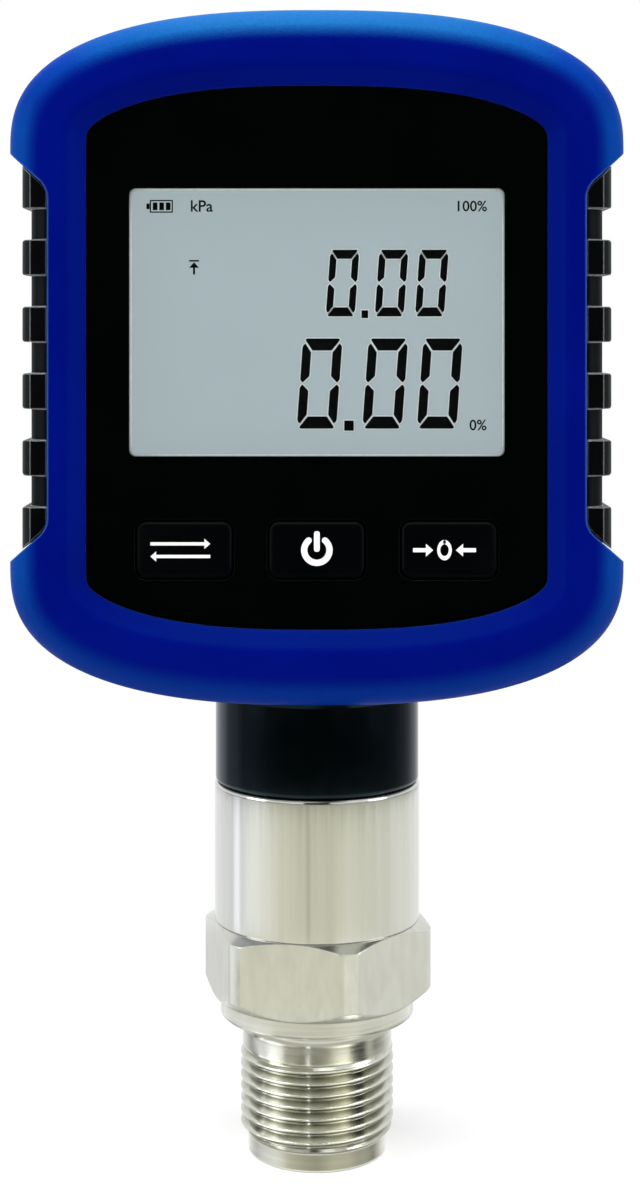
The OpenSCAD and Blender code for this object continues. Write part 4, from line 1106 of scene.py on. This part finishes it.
@dataclass
class DigitRow:
    """A row of noughts on the display with a decimal point."""

    base: float                             # height of its foot
    height: float                           # of a digit
    width: float
    lefts: tuple[float, ...]                # X of each digit's lower left corner
    upright: float                          # width of an upright segment
    level: float                            # height of a level segment
    point: tuple[float, float, float, float]    # X and Z of the decimal point's sides
    slant: float = 0.072                    # how far a digit leans for each millimetre up
    gap: float = 0.15                       # between the upper and lower uprights

    def segments(self) -> list[Points]:
        """The six segments of a nought, about its lower left corner, upright.

        Returns:
            Convex outlines, counterclockwise.
        """
        w, h, u, v = self.width, self.height, self.upright, self.level
        top = np.array([(0.4 * u, h), (0.26 * u, h - 0.12 * v), (1.12 * u, h - v),
                        (w - 1.12 * u, h - v), (w - 0.26 * u, h - 0.12 * v), (w - 0.4 * u, h)])
        tip = h / 2 + self.gap
        left = np.array([(0, h - 0.72 * v), (0, tip + 0.34 * u), (0.2 * u, tip + 0.03 * u),
                         (0.33 * u, tip), (u, tip + 0.68 * u), (u, h - 1.15 * v),
                         (0.31 * u, h - 0.42 * v), (0.12 * u, h - 0.52 * v)])
        foot, low = ((p * [1, -1] + [0, h])[::-1] for p in (top, left))
        return [top, foot, left, low, *((p * [-1, 1] + [w, 0])[::-1] for p in (left, low))]

    def outlines(self) -> list[Points]:
        """Every segment of the row in its place, and the decimal point, in X and Z."""
        lean = np.array([[1, 0], [self.slant, 1]])
        return [*(s @ lean + [x, self.base] for x in self.lefts for s in self.segments()),
                box(*self.point)]


@dataclass
class Display:
    """The lit display: film, dark segments, small marks and the rim of its opening."""

    film: float = -12.3                     # Y of the film's front face
    halo: float = 0.01                      # thickness of the pale fringe on it
    ink: float = 0.02                       # thickness of the dark marks on that
    left: float = -23.25                    # sides of the opening
    right: float = 23.25
    low: float = 91.5
    high: float = 124.7
    rim_width: float = 0.16
    rows: tuple[DigitRow, ...] = (
        DigitRow(94.79, 11.3, 4.96, (-2.54, 5.68, 12.53), 1.14, 1.52, (3.43, 4.62, 94.52, 95.8)),
        DigitRow(108.85, 8.36, 3.64, (1.1, 7.24, 12.29), 0.85, 1.14, (5.59, 6.43, 108.63, 109.62)),
    )

    def band(self, name: str, outer: Points, inner: Points, front: float, back: float,
             look: Look) -> None:
        """A flat ring between two outlines with the same number of points."""
        grid = layers((outer, front), (inner, front), (inner, back), (outer, back))
        finish_piece(grid_mesh(name, grid), look)

    def battery_mark(self) -> list[Points]:
        """A full battery: its can is a ring of its own, here are the nub and three bars.

        Returns:
            The outlines.
        """
        x0, x1, z0, z1 = -20.95, -18.05, 121.85, 123.45
        outer, back = box(x0, x1, z0, z1), self.film - self.halo
        self.band("battery_mark_can", outer, grown(outer, -0.16), back - self.ink, back,
                  Look.SEGMENT)
        bars = [box(x0 + 0.38 + k * 0.82, x0 + 0.96 + k * 0.82, z0 + 0.32, z1 - 0.32)
                for k in range(3)]
        return [box(x0 - 0.42, x0 - 0.02, 122.3, 123.0), *bars]

    def peak_mark(self) -> list[Points]:
        """A peak mark: an arrow up to a bar.

        Returns:
            The outlines.
        """
        x, z = -15.4, 114.2
        head = np.array([(x - 0.62, z + 0.75), (x + 0.62, z + 0.75), (x, z + 1.45)])
        return [box(x - 0.62, x + 0.62, z + 1.52, z + 1.72), head,
                box(x - 0.13, x + 0.13, z - 0.1, z + 0.75)]

    def lettering(self, name: str, words: str, x: float, z: float, height: float) -> None:
        """Plain figures or a unit in Blender's own font, made a mesh and then placed.

        Args:
            name: Name of the piece.
            words: What it says.
            x: X of its left side.
            z: Height of its foot.
            height: Height of a capital, which is 0.7 of the font's size.
        """
        curve = bpy.data.curves.new(name, "FONT")
        curve.body, curve.size, curve.resolution_u = words, height / 0.7 * MM, 4
        curve.extrude, curve.offset = 0.008 * MM, 0.025 * MM
        holder = put(name + "_curve", curve)
        evaluated = holder.evaluated_get(bpy.context.evaluated_depsgraph_get())
        mesh = bpy.data.meshes.new_from_object(evaluated)
        bpy.data.objects.remove(holder)
        place = places(mesh.vertices, "co")[:, [0, 2, 1]] * [1, -1, 1]
        place += [x, self.film - self.halo - self.ink / 2, z]
        faces = [list(p.vertices) for p in mesh.polygons]
        finish_piece(link_mesh(name, place, faces), Look.SEGMENT)

    def rim(self) -> None:
        """A thin pale line inside the opening, where the face's cut edge catches the light."""
        sides = box(self.left, self.right, self.low, self.high)
        outer = softened([(x, z, 0.8) for x, z in sides], 10)
        centre, size = sides.mean(0), sides[2] - sides[0]
        inner = centre + (outer - centre) * (1 - 2 * self.rim_width / size)
        self.band("display_rim", outer, inner, -13.72, -13.705, Look.FRINGE)

    def build(self) -> None:
        """Lights the film and draws everything on it."""
        finish_copies(("display_film", "lcd_polarizers", Look.FILM, "gauge", "polarizer_grey"))
        dark = [o for row in self.rows for o in row.outlines()]
        pale, back = [grown(o, 0.12) for o in dark], self.film - self.halo
        finish_piece(prisms("segment_fringe", pale, back, self.film), Look.FRINGE)
        dark += self.battery_mark() + self.peak_mark()
        finish_piece(prisms("display_segments", dark, back - self.ink, back), Look.SEGMENT)
        self.lettering("unit_mark", "kPa", -15.9, 122.0, 1.42)
        self.lettering("full_scale_mark", "100%", 17.3, 122.05, 1.3)
        self.lettering("zero_scale_mark", "0%", 19.1, 94.6, 1.3)
        self.rim()


@dataclass
class Head:
    """Everything of the head that the CAD model already has in its final shape."""

    def build(self) -> None:
        """Dresses the case, the face, the window, the door and what holds them."""
        finish_copies(
            ("front_case", "front_shell", Look.CASE, "gauge", "case_black"),
            ("rear_case", "rear_shell", Look.CASE, "gauge", "case_black"),
            ("gloss_face", "front_panel", Look.PANEL, "gauge", "panel_black"),
            ("clear_window_sheet", "display_window", Look.WINDOW, "gauge", "clear_window"),
            ("compartment_door", "battery_door", Look.DOOR, "door", "case_black"),
            ("captive_screws", "door_screws", Look.SCREW, "door", "screw_steel"),
            ("shell_screws", "case_screws", Look.SCREW, "gauge", "screw_steel"),
            ("door_threads", "door_inserts", Look.BRASS, "gauge", "insert_brass"))


# ---- the batteries ----
@dataclass
class Cell:
    """One battery cell: a rounded can in a plain shrunk sleeve, with its terminals."""

    node: str                               # name of its CAD node
    up: bool                                # whether its nub is at the top
    radius: float = 5.25                    # of the can
    turned_over: float = 1.2                # width of the sleeve's turned-over rim
    nub: float = 2.75                       # radius of the nub
    nub_height: float = 1.0

    def build(self) -> None:
        """Makes the can with its sleeve turned over both shoulders."""
        low, high = np.array(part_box(self.node)) / MM
        middle, length = (low + high) / 2, high[2] - low[2]
        body, bare = length - self.nub_height, self.radius - self.turned_over
        profile = softened([
            (AXIS, 0, 0), (bare, 0, 0), (self.radius, 0, 0.7), (self.radius, body, 0.7),
            (bare, body, 0.1), (bare, body - 0.15, 0), (self.nub, body - 0.15, 0),
            (self.nub, length, 0.4), (AXIS, length, 0)], hold=0.05)
        if not self.up:
            profile = profile * [1, -1] + [0, length]
        cell = revolve(self.node + "_cell", profile, 96)
        cell.data.transform(Matrix.Translation((middle[0] * MM, middle[1] * MM, low[2] * MM)))
        finish_piece(cell, Look.SLEEVE, replaces=[self.node])
        out = np.hypot(*(places(cell.data.polygons, "center") - middle)[:, :2].T)
        repaint(cell, out < bare - 0.05, Look.NICKEL)


@dataclass
class Compartment:
    """The battery compartment: cells, coil springs, contact strips and the door's seal."""

    cells: tuple[Cell, ...] = (Cell("battery_left", True), Cell("battery_middle", False),
                               Cell("battery_right", True))
    wire: float = 0.3                       # radius of the spring wire
    base: float = 3.4                       # radius of a spring's first turn
    tip: float = 2.3                        # radius of its last turn
    turns: int = 3                          # turns that climb
    room: float = 4.1                       # from a spring's plate to the cell

    def coil(self, cell: Cell) -> Points:
        """One spring as the rings of a round wire.

        Its middle line is (x + r cos a, y + r sin a, z + rise), where r goes evenly from the
        base's radius to the tip's. A ring is p + wire (n cos b + m sin b), with n and m
        square to that line.

        Args:
            cell: The cell that it presses on, from below where the nub is at the top.

        Returns:
            A grid of points, a row for each ring.
        """
        low, high = np.array(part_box("battery_springs")) / MM
        x, y, _ = np.array(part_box(cell.node)).mean(0) / MM
        foot, up = (low[2], 1) if cell.up else (high[2], -1)
        a = np.linspace(0, FULL_TURN * self.turns, 28 * self.turns)
        share = a / a[-1]
        r = self.base + (self.tip - self.base) * share
        rise = self.wire + (self.room - 2 * self.wire) * share
        path = np.stack([x + r * np.cos(a), y + up * r * np.sin(a), foot + up * rise], -1)
        along = unit(np.gradient(path, axis=0))
        side = unit(np.cross(along, [0.0, 0.0, 1.0]))
        turn = np.linspace(0, FULL_TURN, 12, endpoint=False)[:, None]
        ring = side[:, None] * np.cos(turn) + np.cross(side, along)[:, None] * np.sin(turn)
        return path[:, None] + self.wire * ring

    def build(self) -> None:
        """Makes the cells and springs and dresses the contacts and the seal."""
        for cell in self.cells:
            cell.build()
        springs = stacks("contact_springs", [self.coil(cell) for cell in self.cells], 60)
        finish_piece(springs, Look.NICKEL, replaces=["battery_springs"])
        finish_copies(
            ("contact_strips", "battery_contacts", Look.NICKEL, "gauge", "spring_steel"),
            ("door_seal", "door_gasket", Look.SEAL, "gauge", "seal_rubber"))


# ---- the port ----
@dataclass
class Port:
    """The steel port and the neck: thread, band, disc, hexagon, tube and collar."""

    pitch: float = 1.5                      # of the thread
    crest: float = 10.0                     # radius of the thread's crests
    root: float = 9.08                      # radius of its roots
    thread_low: float = 2.5                 # height where the thread starts
    thread_high: float = 14.0               # height where it ends
    run_out: float = 0.9                    # height over which it fades into the band
    first: float = 4.5                      # height of a crest at angle zero
    band: float = 9.75                      # radius of the plain band above it
    fillet: Vec3 = (11.55, 16.2, 1.8)       # under the disc: its centre, then its radius
    hex_low: float = 20.4
    hex_high: float = 30.4
    flat: float = 13.5                      # distance of the hexagon's flats from the axis
    turned: float = 15.0                    # radius that its corners are turned to
    rim: float = 13.2                       # radius of its lower and upper rim
    corner: float = -74.0                   # angle of one of its corners, in degrees
    cones: tuple[float, float] = (40.0, 28.0)   # angles that ease the two rims, in degrees
    columns: int = 288                      # points in one turn

    def thread_rows(self, turn: Points) -> Rows:
        """Radius and height of the rows that wind up the thread.

        A row at the share b of the pitch climbs as z = z0 + P (b + a / 2 pi), and its radius
        is the 60-degree profile at b with its corners eased. A cone at 45 degrees cuts the
        start, and near the end every radius runs out into the plain band.

        Args:
            turn: Angle of each column, with both ends of the turn.

        Returns:
            Radii and heights, a row for each row of the thread.
        """
        share = np.array([0.0, 0.07, 0.1, 0.14, 0.38, 0.42, 0.46, 0.5, 0.54, 0.58, 0.62, 0.86,
                          0.9, 0.93])
        rise = np.array([0, 0.01, 0.05, 0.15, 0.84, 0.94, 0.99, 1, 0.99, 0.94, 0.84, 0.15,
                         0.05, 0.01])
        laps = np.arange(-3, 10)[:, None]
        level = (laps + share).reshape(-1, 1)
        r = np.tile(self.root + (self.crest - self.root) * rise, len(laps))[:, None]
        z = self.first - self.pitch / 2 + self.pitch * (level + turn / FULL_TURN)
        z = np.clip(z, self.thread_low, self.thread_high)
        r = np.minimum(r, self.root + (z - self.thread_low))
        out = np.clip((z - self.thread_high + self.run_out) / self.run_out, 0, 1)
        out = out * out * (3 - 2 * out)
        return r * (1 - out) + self.band * out, z

    def hex_rows(self, turn: Points) -> Rows:
        """Radius and height of the hexagon's four rows.

        A flat is at d / cos(angle from its middle), cut off at the turned radius. A cone
        takes each rim back by (radius - rim's radius) tan(its angle).

        Args:
            turn: Angle of each column.

        Returns:
            Radii and heights, a row for each edge.
        """
        sixth = FULL_TURN / 6
        off = np.mod(turn - math.radians(self.corner), sixth) - sixth / 2
        r = np.minimum(self.flat / np.cos(off), self.turned)
        low, high = ((r - self.rim) * math.tan(math.radians(cone)) for cone in self.cones)
        radii = (self.rim, r, r, self.rim)
        heights = (self.hex_low, self.hex_low + low, self.hex_high - high, self.hex_high)
        return tuple(np.stack(np.broadcast_arrays(*rows)) for rows in (radii, heights))

    def connector(self) -> None:
        """Makes the connector as one closed grid, from the mouth up outside and down inside."""
        turn = np.linspace(0, FULL_TURN, self.columns + 1)
        middle, height, bow = self.fillet
        bend = np.linspace(math.pi, QUARTER, 9)
        low = [(2.75, 0.0), (8.55, 0.0), (8.7, 0.0), (8.86, 0.04), (8.96, 0.14), (9.0, 0.3),
               (9.0, 0.4), (9.0, 2.36), (self.root, self.thread_low)]
        band = [(self.band, self.thread_high), (self.band, 14.1), (self.band, 16.1),
                *((middle + bow * math.cos(a), height + bow * math.sin(a)) for a in bend),
                (11.65, 18.0), (12.2, 18.0), (12.3, 18.0), (12.46, 18.04), (12.56, 18.14),
                (12.6, 18.3), (12.6, 18.4), (12.6, self.hex_low)]
        bore = [(11.8, self.hex_high), (11.8, 33.2), (11.6, 33.4), (9.75, 33.4), (9.55, 33.2),
                (9.55, 22.4), (2.5, 22.4), (2.5, 0.25)]
        low, band, bore = (np.hsplit(np.array(part), 2) for part in (low, band, bore))
        blocks = (low, self.thread_rows(turn), band, self.hex_rows(turn), bore)
        r, z = (np.concatenate([np.broadcast_to(b[k], (len(b[k]), turn.size)) for b in blocks])
                for k in range(2))
        piece = grid_mesh("steel_connector", around(r, z, turn), True, False, 20)
        finish_piece(piece, Look.TURNED, replaces=["process_connector"])
        x, y, z = places(piece.data.polygons, "center").T
        out = np.hypot(x, y)
        hexed = (z > self.hex_low + 0.1) & (z < self.hex_high - 0.1) & (out > 13)
        cut = (z > self.thread_low) & (z < self.thread_high - 0.1) & (out > 9)
        repaint(piece, hexed + 2 * cut, Look.MILLED, Look.THREAD)

    def build(self) -> None:
        """Makes the connector, the polished tube, and the collar with its plug and stub."""
        self.connector()
        tube = softened([(11.9, 30.4, 0), (13.4, 30.4, 0.08), (13.4, 48.3, 0.38),
                         (11.9, 48.3, 0.1)], 7, 0.06)
        finish_piece(revolve("steel_tube", tube, 288, 40), Look.TUBE,
                     replaces=["sensor_tube"])
        collar = softened([
            (8.5, 43.3, 0.1), (11.4, 43.3, 0), (11.8, 43.7, 0), (11.8, 44.8, 0.1),
            (10.6, 44.8, 0.1), (10.6, 46.7, 0.1), (11.8, 46.7, 0.1), (11.8, 48.3, 0),
            (12.9, 48.3, 0.1), (13.3, 48.7, 0.2), (13.3, 62.2, 0.15), (8.0, 62.2, 0),
            (8.0, 70.0, 0.3), (5.5, 70.0, 0.2), (5.5, 57.2, 0), (8.5, 57.2, 0)], hold=0.05)
        finish_piece(revolve("neck_collar_turned", collar, 240, 40), Look.COLLAR,
                     replaces=["neck_collar"])


@dataclass
class Inside:
    """What works inside the gauge, kept from the CAD model and given its own finishes."""

    looks: dict[Look, str] = field(default_factory=lambda: {
        Look.SEAL: "shell_gasket neck_oring capsule_oring",
        Look.NYLON: "plunger_left plunger_power plunger_right lcd_frame sensor_header sensor_plug",
        Look.EPOXY: "tact_switches board_chips compensation_parts",
        Look.GLASS: "lcd_front_glass lcd_rear_glass",
        Look.GUIDE: "lcd_backlight",
        Look.ZEBRA: "zebra_strips",
        Look.BOARD: "main_board compensation_board",
        Look.CAN: "board_capacitors",
        Look.SCREW: "board_screws neck_locknut",
        Look.WIRE: "sensor_wires battery_leads",
        Look.BRASS: "case_inserts header_pins",
        Look.TURNED: "sensor_capsule isolating_diaphragm retaining_ring",
    })

    def build(self) -> None:
        """Dresses each node that stays as it is."""
        for look, nodes in self.looks.items():
            for node in nodes.split():
                dress(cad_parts[node], look)
                log.info("%s: %s", node, look.name.lower())


# ---- the studio ----
@dataclass(frozen=True)
class Lamp:
    """A softbox."""

    name: str
    place: Vec3
    size: tuple[float, float]               # its width and height
    watts: float


@dataclass(frozen=True)
class Card:
    """A grey or white card flat about the port, which one round wall of it mirrors.

    Its stops are the angle in degrees of the mirrored ray from the front towards +X, the
    brightness there, and how warm it is there. It changes evenly from stop to stop.
    """

    name: str
    wall: float                             # radius of the wall
    near: float                             # from the wall to its start, along the ray
    far: float                              # from the wall to its end
    stops: tuple[Vec3, ...]
    z: float = 0.2                          # its height
    steep: float | None = 0.95              # its brightness to steep rays, if it differs


@dataclass
class Studio:
    """A white table and backdrop, soft light and the camera."""

    ambient: float = 0.25                   # strength of the room's own light
    aim: Vec3 = (0, 0, 75)                  # the point that the softboxes face
    eye: Vec3 = (0.39, -270, 107.15)        # where the camera stands
    lens: float = 62.5                      # its focal length
    shift: float = -0.2213                  # its vertical shift, as a share of the picture
    lamps: tuple[Lamp, ...] = (
        Lamp("top_softbox", (-20, -60, 420), (420, 320), 1.9),
        Lamp("left_softbox", (-330, -120, 190), (160, 420), 0.8),
        Lamp("right_softbox", (330, -120, 190), (160, 420), 0.65),
        Lamp("front_softbox", (0, -420, 330), (420, 220), 0.25),
    )
    cards: tuple[Card, ...] = (
        Card("spigot_card", 9, 0.3, 6.3, (
            (-165, 1.2, -0.2), (-120, 0.75, 0), (-102, 0.97, -0.1), (-72, 1.13, 0.1),
            (-60, 1.0, 0.5), (-46, 0.72, 1.2), (-22, 0.55, 1.6), (0, 0.45, 1.6), (26, 0.67, 1.5),
            (55, 0.67, 1.4), (70, 0.53, 1.3), (87, 0.53, 1.1), (107, 0.35, 0.8), (135, 1.05, 0),
            (165, 1.2, 0))),
        Card("fillet_card", 10, 4.9, 10.0, ((-180, 0.95, 0.4), (180, 0.95, 0.4)), 0.1, 1.15),
        Card("thread_card", 10, 9.9, 38.6, (
            (-165, 1.2, -0.2), (-127, 1.0, -0.1), (-113, 0, 0), (-98, 1.3, -0.2),
            (-84, 2.1, -0.2), (-74, 4.2, -0.2), (-64, 2.7, 0), (-50, 1.1, 0.8), (-34, 0.8, 1.3),
            (-25, 0.3, 1.6), (-7, 0.3, 1.6), (10, 0.6, 1.6), (26, 1.6, 1.4), (36, 2.9, 1.2),
            (48, 3.3, 1.1), (60, 0.6, 1.2), (70, 0, 1.1), (80, 0, 1.1), (88, 0.9, 0.9),
            (115, 0.7, 0.6), (165, 1.2, 0)), steep=0.7),
        Card("thread_glint_card", 10, 6.5, 38.6, ((-14.8, 6.0, 0), (-12.4, 6.0, 0)), 0.3),
        Card("thread_spark_card", 10, 6.5, 38.6, ((-101, 3.0, -0.4), (-96, 3.0, -0.4)), 0.3),
        Card("band_card", 9.75, 39, 52, (
            (-165, 1.1, -0.1), (-140, 0.9, -0.1), (-121, 0.42, 0), (-106, 0.95, -0.2),
            (-91, 0.88, -0.2), (-76, 1.22, -0.1), (-66, 1.28, 0), (-54, 1.1, 0.3), (-51, 0.25, 1.2),
            (17, 0.25, 1.2), (25, 0.62, 0.9), (44, 0.84, 0.8), (50, 0.8, 0.8), (53, 0.2, 1.2),
            (64, 0, 1), (76, 0.05, 1), (86, 0.58, 0.7), (93, 0.5, 0.6), (100, 0.25, 0.6),
            (116, 0.48, 0.4), (135, 0.85, 0.1), (165, 1.1, 0))),
        Card("disc_card", 12.6, 53, 60.3, (
            (-150, 1.3, -0.2), (-90, 1.2, -0.1), (-78, 1.4, 0), (-66, 1.25, 0.2),
            (-40, 1.2, 0.6), (0, 1.12, 0.8), (70, 1.08, 0.6), (85, 1.1, 0.3), (150, 1.3, 0))),
        Card("hex_card", 13.5, 60.5, 101.5, (
            (-175, 0.87, 0), (-105, 0.87, 0), (-97, 1.2, -0.1), (-90, 1.2, -0.1), (-87, 0.72, 0.4),
            (-79, 0.72, 0.4), (-60, 0.94, 0.9), (18, 0.95, 1.1), (23, 1.12, 0.7), (64, 1.12, 0.5),
            (78, 0.94, 0.5), (130, 0.94, 0.3), (160, 0.8, 0.3))),
        Card("tube_card", 13.4, 101.7, 211, (
            (-160, 1.03, -0.2), (-120, 1.0, -0.2), (-108, 0.95, -0.4), (-104, 1.42, -0.5),
            (-98, 1.42, -0.5), (-94, 1.0, -0.2), (-75, 1.25, 0), (-45, 1.0, 0.9), (-20, 0.82, 1.2),
            (-12.5, 0.82, 1.2), (-9.5, 0.6, 1.2), (-7, 0.82, 1.2), (16, 0.87, 1.2), (32, 0.94, 1),
            (85, 0.92, 0.7), (100, 1.04, 0.4), (150, 1.05, 0.1))),
        Card("collar_card", 13.3, 211, 380, (
            (-170, 1.0, -0.3), (-129, 0.68, -0.6), (-118, 0.34, -1), (-103, 0.36, -1),
            (-92, 0.2, -1), (-75, 0.19, -1), (-60, 0.1, -1), (-35, 0.035, -1), (30, 0.035, -1),
            (60, 0.06, -1), (95, 0.12, -1), (120, 0.26, -0.8), (136, 0.53, -0.5), (170, 1.0, 0))),
        Card("neck_card", 13.4, 1, 27, (
            (-180, 0.7, 0), (-150, 0.6, 0), (-130, 0.3, -1), (-100, 0.55, -0.6), (-80, 0.15, -0.5),
            (-60, 0.5, 0.4), (-10, 0.5, 0.6), (10, 0.12, 0.4), (32, 0.12, 0.4), (40, 0.85, 0.4),
            (80, 0.85, 0.3), (86, 0.15, 0), (125, 0.3, 0), (140, 0.7, 0), (180, 0.7, 0)),
            59.6, None),
    )

    def seen(self, tree: Tree) -> Socket:
        """One for rays from the camera, a reflection or the clear window, and else nought.

        Args:
            tree: The tree that asks.

        Returns:
            The value.
        """
        camera, glossy, through = (
            add_node(tree, "LightPath", out=f"Is {kind} Ray")
            for kind in ("Camera", "Glossy", "Transmission"))
        first = add_node(tree, "Math", {0: camera, 1: glossy}, operation="MAXIMUM")
        return add_node(tree, "Math", {0: first, 1: through}, operation="MAXIMUM")

    def room(self) -> None:
        """The white room: its plain light, and white where it is seen."""
        bpy.context.scene.world = bpy.data.worlds.new("white_room")
        tree = bare_tree(bpy.context.scene.world)
        strength = add_node(tree, "MapRange", {"Value": self.seen(tree), "To Min": self.ambient,
                                               "To Max": 1.0})
        light = add_node(tree, "Background", {"Color": (1, 1, 1, 1), "Strength": strength})
        add_node(tree, "OutputWorld", {"Surface": light})

    def table(self) -> None:
        """A round white table: points (r cos a, r sin a, 0).

        Its lit colour keeps the gauge's shadow near the port. To the camera, to reflections
        and through the clear window it fades with distance to the white of the room.
        """
        radius = np.array([0.01, 20, 40, 70, 120, 250, 600, 1500])[:, None]
        turn = np.linspace(0, FULL_TURN, 64, endpoint=False)
        table = grid_mesh("table_top", around(radius, 0, turn), False)
        white = bpy.data.materials.new("matt_white_table")
        tree = bare_tree(white)
        lit = add_node(tree, "BsdfDiffuse", {"Color": linear("#e2e2e2")})
        glow = add_node(tree, "Emission", {"Strength": 0.42})
        near = add_node(tree, "AddShader", {0: lit, 1: glow})
        room = add_node(tree, "Emission", {"Color": linear("#ffffff"), "Strength": 1.0})
        where = add_node(tree, "TexCoord", out="Object")
        away = add_node(tree, "VectorMath", {0: where}, "Value", operation="LENGTH")
        fade = add_node(tree, "MapRange",
                        {"Value": away, "From Min": 12 * MM, "From Max": 46 * MM},
                        interpolation_type="SMOOTHSTEP")
        share = add_node(tree, "Math", {0: fade, 1: self.seen(tree)}, operation="MULTIPLY")
        both = add_node(tree, "MixShader", {0: share, 1: near, 2: room})
        add_node(tree, "OutputMaterial", {"Surface": both})
        table.data.materials.append(white)

    def hide(self, card: Piece, colours: Points, steep: float | None) -> None:
        """Gives a card its brightness and hides it from everything but reflections.

        Args:
            card: The card.
            colours: Linear colour and alpha of each of its points.
            steep: How bright it is to rays that meet it at more than about 30 degrees, or
                None where those see the same as all others.
        """
        tone = card.data.attributes.new("tone", "FLOAT_COLOR", "POINT")
        tone.data.foreach_set("color", colours.ravel())
        paper = bpy.data.materials.new(card.name + "_paper")
        tree = bare_tree(paper)
        colour = add_node(tree, "Attribute", out="Color", attribute_name="tone")
        if steep is not None:
            aslant = add_node(tree, "LayerWeight", {"Blend": 0.5}, "Facing")
            share = add_node(tree, "MapRange",
                             {"Value": aslant, "From Min": 0.58, "From Max": 0.42})
            shown = (steep, steep, steep * 0.93, 1)
            colour = add_node(tree, "Mix", {0: share, 6: colour, 7: shown}, 2, data_type="RGBA")
        glow = add_node(tree, "Emission", {"Color": colour})
        add_node(tree, "OutputMaterial", {"Surface": glow})
        card.data.materials.append(paper)
        for way in ("camera", "diffuse", "transmission", "volume_scatter", "shadow"):
            setattr(card, "visible_" + way, False)

    def flag(self) -> None:
        """A flat black card behind the camera, so that the gloss face reflects black."""
        x, z = np.meshgrid([-75, 75], [15, 185])
        sheet = grid_mesh("black_card", np.stack([x, 0 * x - 300, z], -1), False, False)
        self.hide(sheet, np.tile([0.0, 0.0, 0.0, 1.0], (4, 1)), 0)

    def lay(self, card: Card) -> None:
        """Lays one card where the rays that its wall mirrors come down.

        With e(a) = (sin a, -cos a), a wall point w e(a / 2) mirrors the camera's ray towards
        e(a), so the card's points are w e(a / 2) + d e(a) for distances d. Brightness b and
        warmth t make the colour b (1, 1 - 0.02 t, 1 - 0.16 t).

        Args:
            card: The card.
        """
        stops = np.array(card.stops)
        angle = np.linspace(stops[0, 0], stops[-1, 0], 241)
        bright, warm = (np.interp(angle, stops[:, 0], stops[:, k])[:, None] for k in (1, 2))
        tone = np.insert(bright * (1 - warm * WARMTH), 3, 1, axis=1)
        turn = np.radians(angle)
        away = np.linspace(card.near, card.far, 6)[:, None]
        x = card.wall * np.sin(turn / 2) + away * np.sin(turn)
        y = -card.wall * np.cos(turn / 2) - away * np.cos(turn)
        sheet = grid_mesh(card.name, np.stack([x, y, 0 * x + card.z], -1), False, False)
        self.hide(sheet, np.resize(tone, (len(sheet.data.vertices), 4)), card.steep)

    def hang(self, lamp: Lamp) -> None:
        """Sets one softbox up.

        Args:
            lamp: The softbox.
        """
        light = bpy.data.lights.new(lamp.name, "AREA")
        light.shape, light.energy = "RECTANGLE", lamp.watts
        light.size, light.size_y = lamp.size[0] * MM, lamp.size[1] * MM
        holder = put(lamp.name, light, lamp.place)
        way = Vector(self.aim) - Vector(lamp.place)
        holder.rotation_mode = "QUATERNION"
        holder.rotation_quaternion = way.to_track_quat("-Z", "Y")

    def camera(self) -> None:
        """The camera of the photograph: level, square to the display, sharp throughout."""
        eye = bpy.data.cameras.new("camera")
        eye.lens, eye.shift_y = self.lens, self.shift
        eye.clip_start, eye.clip_end = 0.01, 10
        holder = put("camera", eye, self.eye)
        holder.rotation_euler = (QUARTER, 0, 0)
        bpy.context.scene.camera = holder

    def build(self) -> None:
        """Sets the room, the table, the cards, the lamps and the camera up."""
        self.room()
        self.table()
        self.flag()
        for card in self.cards:
            self.lay(card)
        for lamp in self.lamps:
            self.hang(lamp)
        self.camera()
        bpy.context.scene.view_settings.view_transform = "Standard"


def main() -> None:
    """Builds the gauge from the port up, then the studio."""
    logging.basicConfig(level=logging.INFO, format="%(name)s %(message)s")
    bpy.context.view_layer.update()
    keys = (Key("key_left", "left_key", -16.4, KeyMark.SWAP, -0.5),
            Key("key_power", "power_key", 0, KeyMark.POWER, 0),
            Key("key_right", "right_key", 16.4, KeyMark.ZERO, -0.6))
    for part in (Port(), Boot(), Head(), Display(), *keys, Compartment(), Inside(), Studio()):
        part.build()
        log.info("%s is ready", type(part).__name__)


if __name__ == "__main__":
    main()
